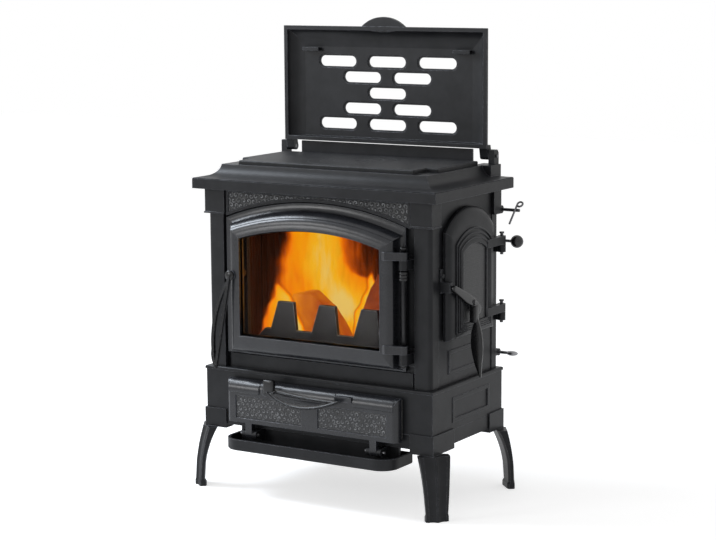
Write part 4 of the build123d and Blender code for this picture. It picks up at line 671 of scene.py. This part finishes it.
# Main door handle: a long leaf-shaped loop, cast in one with the latch shaft that goes through the door.
# Black enamel; its arrises are painted paler in spots, partly as wear and partly as a painted highlight.
def arc_through(start, middle, end):
    """Points on the circle through three points of a plane, from start past middle to end."""
    start, middle, end = (np.asarray(spot, float) for spot in (start, middle, end))
    square = np.array((middle - start, end - start)) * 2
    centre = np.linalg.solve(square, [middle @ middle - start @ start, end @ end - start @ start])
    angles = [np.arctan2(*(spot - centre)[::-1]) for spot in (start, middle, end)]
    ccw = (angles[1] - angles[0]) % (2 * np.pi) < (angles[2] - angles[0]) % (2 * np.pi)
    sweep = (angles[2] - angles[0]) % (2 * np.pi) - (0 if ccw else 2 * np.pi)
    turn = angles[0] + np.linspace(0, 1, 40) * sweep
    return centre + np.linalg.norm(start - centre) * np.stack((np.cos(turn), np.sin(turn)), axis=-1)


def plane_loop(outer, inner, origin, right, over, thickness):
    """Flat ring between an outer and an inner outline given from tip to tail and back, with rounded arrises.

    Each outline is two sides, and each side has its points at even steps, so that a step of one faces the other.
    """
    rounding, count = 2.0, 120
    rims = []
    for first_side, second_side in (outer, inner):
        rims.append(np.vstack((carried(first_side, count)[:-1], carried(second_side, count)[:-1])))
    width = np.linalg.norm(rims[0] - rims[1], axis=1).mean()
    quarter = np.linspace(0, np.pi / 2, 4)
    ease = (1 - np.cos(quarter)) * rounding, (1 - np.sin(quarter)) * rounding
    share = np.concatenate((ease[1], width - ease[1][::-1], width - ease[1], ease[1][::-1])) / width
    depth = np.concatenate((ease[0], ease[0][::-1], thickness - ease[0], thickness - ease[0][::-1]))
    flat = rims[0][:, None, :] * (1 - share[None, :, None]) + rims[1][:, None, :] * share[None, :, None]
    origin, right, over = (np.asarray(value, float) for value in (origin, right, over))
    forward = np.cross(right, over)
    return origin + flat[:, :, :1] * right + flat[:, :, 1:] * over + depth[None, :, None] * forward


def turned(profile, start, way):
    """Round bar: a profile of (radius, distance) spun about the line from start along way."""
    count = 32
    profile, start, way = (np.asarray(value, float) for value in (profile, start, way))
    way = unit(way)
    aside = unit(np.cross(way, (0.3, 0.5, 0.8)))
    third = np.cross(way, aside)
    turn = np.arange(count) / count * 2 * np.pi
    spoke = np.cos(turn)[:, None] * aside + np.sin(turn)[:, None] * third
    return start + profile[:, None, :1] * spoke[None, :, :] + profile[:, None, 1:] * way


handle_black = cast_iron(
    "handle_enamel", (0.005, 0.005, 0.0055), (0.008, 0.008, 0.009), gloss=(0.18, 0.28), shine=0.36, arris=0.0016
)
# Sides as arcs from the tip at the top to the tail: the inner ones leave a bar about 8 mm wide inside the outer ones.
leaf = 240.0
belly = 60.0
outer_left = np.vstack(
    (
        arc_through((0, 0), (-0.82 * belly, -0.40 * leaf), (-belly, -0.80 * leaf)),
        arc_through((-belly, -0.80 * leaf), (-0.96 * belly, -0.93 * leaf), (-0.78 * belly, -leaf)),
    )
)
outer_right = arc_through((-0.78 * belly, -leaf), (-0.86 * belly + 31, -0.45 * leaf), (0, 0))
inner_left = np.vstack(
    (
        arc_through((-0.30 * belly, -0.17 * leaf), (-0.86 * belly + 8, -0.45 * leaf), (-belly + 7.5, -0.80 * leaf)),
        [(-0.86 * belly, -0.93 * leaf)],
    )
)
inner_right = arc_through(
    (-0.86 * belly, -0.93 * leaf), (-0.86 * belly + 23, -0.45 * leaf), (-0.30 * belly, -0.17 * leaf)
)
latch_x, latch_z, door_face = -226, 545, -206.3
leaf_ring = plane_loop(
    (outer_left, outer_right), (inner_left, inner_right), (-220, door_face, 549), (1, 0, 0), (0, 0, 1), thickness=10.0
)
latch_shaft = turned([(0, 0), (5, 0), (5, 55.5), (0, 55.5)], (latch_x, -150.6, latch_z), (0, -1, 0))
hub_profile = [(0, 0), (11, 0), (12.4, 1.2), (12.4, 4.6), (10.6, 6.4), (0, 7.0)]
latch_hub = turned(hub_profile, (latch_x, door_face, latch_z), (0, -1, 0))
shell(
    "main_handle_leaf",
    "main_handle",
    handle_black,
    [(leaf_ring, True, True), (latch_shaft, False, True), (latch_hub, False, True)],
    replaced=("main_handle",),
)


# Hinge rod: one long bar dropped through the ears of the frame and the eyes of the door.
# Enamelled black like the handles, with a collar of three beads between the straps and turned buttons at the ends.
def beads(low, high, radius, count):
    """Profile of a row of half-round beads between two heights."""
    turn = np.linspace(0, np.pi, 9)
    tall = (high - low) / count
    rows = [
        np.stack((radius + 0.45 * tall * np.sin(turn), low + tall * (bead + 0.5 - 0.5 * np.cos(turn))), axis=-1)
        for bead in range(count)
    ]
    return np.vstack(rows)


rod_profile = np.vstack(
    (
        [(0, 360), (3.0, 360.2), (5.0, 362.5), (5.5, 366), (5.5, 414), (8.2, 415), (8.2, 566)],
        beads(566, 589, 8.2, 3),
        [(5.5, 590), (5.5, 640), (7.2, 641)],
        beads(641, 646, 6.4, 1),
        [(3.5, 647), (0, 648)],
    )
)
rod_x, rod_y = 254, -186
rod = turned(rod_profile, (rod_x, rod_y, 0), (0, 0, 1))
shell("turned_hinge_rod", "stove_body", handle_black, [(rod, False, True)], replaced=("hinge_rod",))


# Ash door: bottom-hung casting for cleaning out under the grate, in the main door's enamel.
# The quarter-round along its top stops for the handle's block and for its rest. Its two sunk panels carry the same
# curled leaves as the frieze.
dress(moulded, "ash_door")
# The quarter-round's section is two quarters of ellipses, closed by a back inside the casting.
round_middle, round_high, round_low = 260, 25, 6.5
round_top_face, round_foot_face, bulge_top, bulge_foot = 183.5, 205.1, 24.8, 3.2
round_up = np.concatenate(
    (round_middle + round_high * np.sin(swell[::-1]), round_middle - round_low * np.sin(swell), [253.5, 262, 276, 284])
)
round_front = (round_top_face + bulge_top * np.cos(swell[::-1]), round_foot_face + bulge_foot * np.cos(swell))
round_forward = np.concatenate((*round_front, [202, 198, 190, 182]))
end_steps = np.array((0, 0.2, 0.6, -0.6, -0.2, 0))
round_walls = []
for round_ends in ((-235, -146), (-79, 73), (124, 235)):
    wall = np.empty((6, len(round_up), 3))
    wall[:, :, 0] = (end_steps + np.repeat(round_ends, 3))[:, None]
    wall[:, :, 1], wall[:, :, 2] = -round_forward, round_up
    round_walls.append((capped(wall), False, True))
shell("ash_door_moulding", "ash_door", moulded, round_walls)
dress(bright_pin, "ash_pins")
dress(drawn_steel("slide_steel", (0.42, 0.42, 0.44), lines=(4.0, 60.0, 60.0)), "primary_air_slide")
panel_wide, panel_low, panel_high = 193.2, 190.4, 246.6
panel_face, panel_height, panel_pitch = -201.7, 2.6, 13.5
for panel_name, panel_left in (("ash_scrolls_left", -216.6), ("ash_scrolls_right", 23.4)):
    panel_right = panel_left + panel_wide
    panel_x, panel_z = np.meshgrid(
        np.linspace(panel_left, panel_right, 180), np.linspace(panel_low, panel_high, 56)
    )
    panel_edge = rim_fade(
        panel_x - panel_left, panel_right - panel_x, panel_z - panel_low, panel_high - panel_z, width=2.5
    )
    panel_raised = curled_leaves(panel_x, panel_z - 190, panel_pitch) * panel_edge
    panel = np.stack((panel_x, panel_face - panel_height * panel_raised, panel_z), axis=-1)
    panel_marks = {"raised": panel_raised}
    shell(panel_name, "ash_door", highlit_scrolls, [(panel, False, False)], marks=panel_marks, facing=(0, -1, 0))
ash_line = np.array([(-241.5, 184), (241.5, 184), (241.5, 280), (-241.5, 280)], float)
ash_groove = -178.65
ash_route = np.insert(ash_line, 1, ash_groove, axis=1)
rope("ash_door_rope", "ash_door", "ash_gasket", ash_route, 8.6, 7.8, (0, -1, 0))


# Ash door handle: a bowed loop that hangs across the door and stands out from it, on a block with a latch pin.
# Black enamel like the main handle.
def block(low, high, rounding):
    """Brick with rounded edges: a sphere of the rounding's radius, pulled apart to the corners, closed at both ends."""
    low, high = np.asarray(low, float), np.asarray(high, float)
    quarter = np.linspace(0, np.pi / 2, 5)
    turn = np.concatenate([quarter + side * np.pi / 2 for side in range(4)])
    lift = np.concatenate((quarter - np.pi / 2, quarter))
    ball = np.stack(
        (
            np.cos(lift)[:, None] * np.cos(turn),
            np.cos(lift)[:, None] * np.sin(turn),
            np.sin(lift)[:, None] * np.ones_like(turn),
        ),
        axis=-1,
    )
    corner = np.empty_like(ball)
    corner[:, :, 0] = np.where(np.arange(20) // 5 % 4 % 3 == 0, 1, -1)
    corner[:, :, 1] = np.where(np.arange(20) < 10, 1, -1)
    corner[:, :, 2] = np.where(np.arange(10) < 5, -1, 1)[:, None]
    reach = (high - low) / 2 - rounding
    spots = (low + high) / 2 + corner * reach + ball * rounding
    return capped(spots)


# Points of the loop from its block to its tail, before it is tilted out from the door.
ash_tilt = np.radians(40)
ash_outer = (
    arc_through((-6, -14), (109, -46), (206, -14)),
    arc_through((206, -14), (109, -10), (-6, 2)),
)
ash_inner = (
    arc_through((16, -15), (109, -37), (178, -19)),
    arc_through((178, -19), (109, -19), (16, -11)),
)
ash_ring = plane_loop(
    ash_outer,
    ash_inner,
    (-108, -209.8, 275),
    (1, 0, 0),
    (0, np.sin(ash_tilt), np.cos(ash_tilt)),
    thickness=8.0,
)
ash_hub = block((-124, -223.3, 262), (-93, -208.2, 298), 5.0)
ash_shaft = turned([(0, 0), (5, 0), (5, 26), (0, 26)], (-126, -184, 264), (0, -1, 0))
shell(
    "ash_handle_loop",
    "ash_handle",
    handle_black,
    [(ash_ring, True, True), (ash_hub, False, True), (ash_shaft, False, True)],
    replaced=("ash_handle",),
)


# Front tray: catches what falls when the ash door is opened.
# Cast iron in the same enamel, hung under the plinth; its front is left bare.
dress(anthracite, "ash_tray")


# Side door: arched casting with stepped mouldings round a sunk panel, hung on pins at the back, for loading long logs.
# Anthracite enamel; the panel is stippled all over, which hides the marks of the foundry.
dress(anthracite, "side_door", "side_ears", "side_keeper")
dress(drawn_steel("side_pin_steel", (0.08, 0.08, 0.085)), "side_pins")
# Stipple: round caps on a staggered net of dot_pitch by row_pitch, dot_radius wide, inside the panel's arch.
panel_middle, stipple_half, stipple_foot = 2, 57, 450
panel_arch, panel_crown = 101.0, 639
dot_pitch, row_pitch, dot_radius, dot_height = 5.2, 4.6, 2.1, 0.8
stipple_y, stipple_share = np.meshgrid(np.linspace(-54.8, 58.8, 92), np.linspace(0, 1, 150))
stipple_top = panel_crown - panel_arch + np.sqrt(panel_arch**2 - (stipple_y - panel_middle) ** 2) - seam
stipple_z = stipple_foot + seam + stipple_share * (stipple_top - stipple_foot - seam)
stipple_row = np.round(stipple_z / row_pitch)
stipple_aside = stipple_y / dot_pitch - 0.5 * (stipple_row % 2)
stipple_reach = np.hypot((stipple_aside - np.round(stipple_aside)) * dot_pitch, stipple_z - stipple_row * row_pitch)
stipple_edge = rim_fade(
    stipple_half - np.abs(stipple_y - panel_middle), stipple_z - stipple_foot, stipple_top - stipple_z, width=2
)
stipple_raised = np.clip(1 - (stipple_reach / dot_radius) ** 2, 0, 1) * stipple_edge
stipple = np.stack((339.25 + dot_height * stipple_raised, stipple_y, stipple_z), axis=-1)
# The dots' tops are painted paler by the same finish: partly wear, partly a painted highlight.
highlit_stipple = highlit_relief_iron("stippled_casting_highlit", (0.011, 0.0115, 0.0125), (0.028, 0.029, 0.031))
stipple_marks = {"raised": stipple_raised}
shell("side_stipple", "side_door", highlit_stipple, [(stipple, False, False)], marks=stipple_marks, facing=(1, 0, 0))

# Beading: three rounded steps, each an ellipse carried round an arched outline that draws in by share.
bead_high, bead_half = 1.9, 2.4
beading = []
for share in (0.0, 0.36, 0.72):
    bead_line = arched_route(84 - 22 * share, 431 + 14 * share, 675 - 31 * share, 128 - 22 * share)
    bead_line = carried(np.vstack((bead_line, bead_line[:1])), 241)[:-1]
    bead_out = unit(np.roll(bead_line, -1, axis=0) - np.roll(bead_line, 1, axis=0))[:, ::-1] * (1, -1)
    bead_turn = np.arange(10) / 10 * 2 * np.pi
    bead_wall = np.empty((240, 10, 3))
    bead_wall[:, :, 0] = 339.4 + 3.2 * share + bead_high * np.cos(bead_turn)
    bead_wall[:, :, 1:] = bead_line[:, None, :] + bead_half * bead_out[:, None, :] * np.sin(bead_turn)[None, :, None]
    bead_wall[:, :, 1] += panel_middle
    beading.append((bead_wall, True, True))
shell("side_beading", "side_door", anthracite, beading)
side_groove = 317.15
side_route = np.insert(arched_route(105, 426, 716, 144) + (panel_middle, 0), 0, side_groove, axis=1)
rope("side_door_rope", "side_door", "side_gasket", side_route, squashed, rope_width, (1, 0, 0))


# Side door latch: a flat lever on its own shaft, its nose at the keeper, with a leaf-shaped tab to pull.
# Cast iron in the same black enamel as the other handles, held by a round-headed screw.
def flat_bar(middle_line, half_widths, low, high, rounding=1.6):
    """Flat bar in a plane of y and z: its edge runs round the middle line, and its faces from x low to high.

    Half circles close the edge at both ends, quarter circles ease the arrises, and each face runs to the middle line.
    """
    line = carried(middle_line, 41)
    wide = np.interp(np.linspace(0, 1, 41), np.linspace(0, 1, len(half_widths)), half_widths)
    tangent = unit(np.gradient(line, axis=0))
    aside = np.stack((tangent[:, 1], -tangent[:, 0]), axis=-1)
    cap = np.linspace(0, np.pi, 13)[1:-1]
    end = line[-1] + wide[-1] * (np.cos(cap)[:, None] * aside[-1] + np.sin(cap)[:, None] * tangent[-1])
    start = line[0] - wide[0] * (np.cos(cap)[:, None] * aside[0] + np.sin(cap)[:, None] * tangent[0])
    edge = np.vstack((line + wide[:, None] * aside, end, (line - wide[:, None] * aside)[::-1], start))
    towards = np.vstack((line, np.tile(line[-1], (len(cap), 1)), line[::-1], np.tile(line[0], (len(cap), 1))))
    inset = unit(edge - towards)
    quarter = np.linspace(0, np.pi / 2, 4)
    drawn_in = rounding * np.concatenate((1 - np.sin(quarter), 1 - np.sin(quarter[::-1])))
    rise = rounding * (1 - np.cos(quarter))
    rings = np.empty((len(drawn_in) + 2, len(edge), 3))
    rings[1:-1, :, 0] = np.concatenate((low + rise, high - rise[::-1]))[:, None]
    rings[1:-1, :, 1:] = edge - inset * drawn_in[:, None, None]
    rings[0, :, 0], rings[-1, :, 0] = low, high
    rings[0, :, 1:] = rings[-1, :, 1:] = towards
    return rings


pivot = (-26, 501)
lever_inner, lever_outer = 346.4, 355.2
lever_bar = flat_bar([(-116, 546), pivot, (0, 480)], (7, 12, 11), lever_inner, lever_outer)
leaf_line = [(362, 462), (361, 430), (362.5, 395), (366, 352), (372, 321)]
lever_leaf = flat_bar(leaf_line, (2, 9, 13.5, 15.5, 15.5, 13.5, 10, 6, 2), 21, 29, rounding=2.5)
lever_leaf = lever_leaf[:, :, (1, 0, 2)] * np.array((1.0, -1.0, 1.0))
lever_shank = block((lever_inner, -35, 452), (364, -17, 492), 3.0)
lever_shaft = turned([(0, 0), (5, 0), (5, 27), (0, 27)], (320, *pivot), (1, 0, 0))
screw_profile = [(0, 0), (6.5, 0), (6.0, 1.8), (4.0, 3.2), (0, 3.8)]
lever_screw = turned(screw_profile, (355.1, *pivot), (1, 0, 0))
shell(
    "side_latch_lever",
    "side_lever",
    handle_black,
    [(grid, False, True) for grid in (lever_bar, lever_leaf, lever_shank, lever_shaft, lever_screw)],
    replaced=("side_lever",),
)


# Dampers: the flue flap turns with its rod, and the upper air slide is pulled by a black ball on a bright rod.
# Drawn steel, a phenolic ball, and a bent wire for a thumb grip.
dress(bright_pin, "damper")
air_finish, air_tree, air_shader, air_place = new_finish("rod_and_ball")
ball_centre, ball_radius, blur = (0.358, 0.188, 0.620), 0.0165, 0.0003
air_reach = put(air_tree, "ShaderNodeVectorMath", {0: air_place, 1: ball_centre}, operation="DISTANCE").outputs["Value"]
air_steel = fade(air_tree, air_reach, ball_radius - blur, ball_radius + blur)
air_drawn = speckle(air_tree, air_place, 0.02, 3.0, 0.6, (4.0, 60.0, 60.0))
air_colour = blend_colour(air_tree, air_steel, (0.008, 0.008, 0.009, 1), (0.45, 0.45, 0.47, 1))
air_looks = {
    "Base Color": air_colour,
    "Metallic": air_steel,
    "Roughness": fade(air_tree, air_drawn, 0.3, 0.7, 0.2, 0.32),
    "Normal": relief(air_tree, air_drawn, 0.00004),
}
feed(air_tree, air_shader, air_looks)
dress(air_finish, "secondary_air_slide")


def wire(corners, radius, normal):
    """Round wire along a line of corners in a plane with this normal, closed at both ends."""
    line = carried(corners, 90)
    tangent = unit(np.gradient(line, axis=0))
    aside = np.cross(tangent, normal)
    turn = np.arange(12) / 12 * 2 * np.pi
    wall = line[:, None, :] + radius * (
        np.cos(turn)[None, :, None] * aside[:, None, :] + np.sin(turn)[None, :, None] * np.asarray(normal, float)
    )
    return capped(wall)


# The wire crosses the rod's end slanting back, and curls into an eye at its top.
slant = np.radians(44)
eye = 7
eye_turn = np.radians(np.linspace(180, -120, 40))
curl = np.stack((eye + eye * np.cos(eye_turn), 2 * eye + eye * np.sin(eye_turn)), axis=-1)
grip = np.vstack(([(0, -47), (0, 2 * eye)], curl))
slope = np.array((0, np.sin(slant), np.cos(slant)))
grip_line = np.array((356.0, 184.0, 701.6)) + grip[:, :1] * np.array((1.0, 0, 0)) + grip[:, 1:] * slope
shell(
    "damper_grip",
    "damper",
    bright_pin,
    [(wire(grip_line, 2.5, np.cross((1, 0, 0), slope)), False, True)],
    replaced=("damper_handle",),
)


# Studio: pale floor that keeps the shadow, white surround, soft lamps and the camera. Not part of the stove.
# Floor and surround show bright to the camera, in mirrors and through glass, and light the stove less than that.
def shown(tree):
    """1 on rays from the camera, off gloss and through glass, and 0 on the rays that light the stove."""
    path = put(tree, "ShaderNodeLightPath").outputs
    seen = maths(tree, "MAXIMUM", path["Is Camera Ray"], path["Is Glossy Ray"])
    return maths(tree, "MAXIMUM", seen, path["Is Transmission Ray"])


floor_mesh = bpy.data.meshes.new("floor")
floor_mesh.from_pydata([(-9, -9, 0), (9, -9, 0), (9, 9, 0), (-9, 9, 0)], [], [(0, 1, 2, 3)])
floor = bpy.data.objects.new("floor", floor_mesh)
bpy.context.scene.collection.objects.link(floor)
floor_finish, floor_tree, floor_shader, _ = new_finish("pale_floor")
floor_looks = {
    "Base Color": (0.82, 0.82, 0.82, 1),
    "Roughness": 0.9,
    "Emission Color": (0.6, 0.6, 0.6, 1),
    "Emission Strength": shown(floor_tree),
}
feed(floor_tree, floor_shader, floor_looks)
floor_mesh.materials.append(floor_finish)

world = bpy.data.worlds.new("studio")
bpy.context.scene.world = world
world.use_nodes = True
sky = world.node_tree
sky.nodes.clear()
room = put(sky, "ShaderNodeBackground", {"Color": (1, 1, 1, 1), "Strength": 0.45})
surround = put(sky, "ShaderNodeBackground", {"Color": (1, 1, 1, 1), "Strength": 1.0})
both = put(sky, "ShaderNodeMixShader", {0: shown(sky), 1: room.outputs[0], 2: surround.outputs[0]})
put(sky, "ShaderNodeOutputWorld", {"Surface": both.outputs[0]})


def aimed(name, data, right, over, back, place):
    """Puts a lamp or camera at place, turned by its own axes: it looks against back."""
    turn = np.eye(4)
    turn[:3] = np.stack((right, over, back, place), axis=-1)
    thing = bpy.data.objects.new(name, data)
    thing.matrix_world = Matrix(turn.tolist())
    bpy.context.scene.collection.objects.link(thing)
    return thing


def softbox(name, place, aim, size, power, colour=(1, 1, 1)):
    """Square soft lamp at place, turned to aim."""
    lamp = bpy.data.lights.new(name, "AREA")
    lamp.size, lamp.energy, lamp.color = size, power, colour
    back = unit(np.array(place, float) - np.array(aim, float))
    side = unit(np.cross((0.0, 0.0, 1.0), back))
    aimed(name, lamp, side, np.cross(back, side), back, place).visible_camera = False


# The overhead lamp is a little blue and lays the long light on the arch moulding; the front one lifts the left side.
softbox("overhead_softbox", (-1.62, -0.42, 1.95), (-0.1, -0.1, 0.65), 1.0, 52, (0.84, 0.91, 1.0))
softbox("front_softbox", (-2.2, -3.2, 1.6), (0, 0, 0.6), 1.0, 28)

# The camera stands where the perspective of the stove's edges puts it, about 5 m off with a long lens.
azimuth, elevation, roll = np.radians((31.725, 8.899, -0.377))
back = np.array((np.sin(azimuth) * np.cos(elevation), -np.cos(azimuth) * np.cos(elevation), np.sin(elevation)))
right = np.array((np.cos(azimuth), np.sin(azimuth), 0.0))
over = np.cross(back, right)
tilted_right = np.cos(roll) * right + np.sin(roll) * over
tilted_over = -np.sin(roll) * right + np.cos(roll) * over
lens = bpy.data.cameras.new("camera")
lens.lens, lens.sensor_width = 101.06, 36.0
bpy.context.scene.camera = aimed("camera", lens, tilted_right, tilted_over, back, (2.5962, -4.1756, 1.3172))
bpy.context.scene.view_settings.view_transform = "Standard"

bpy.context.view_layer.update()
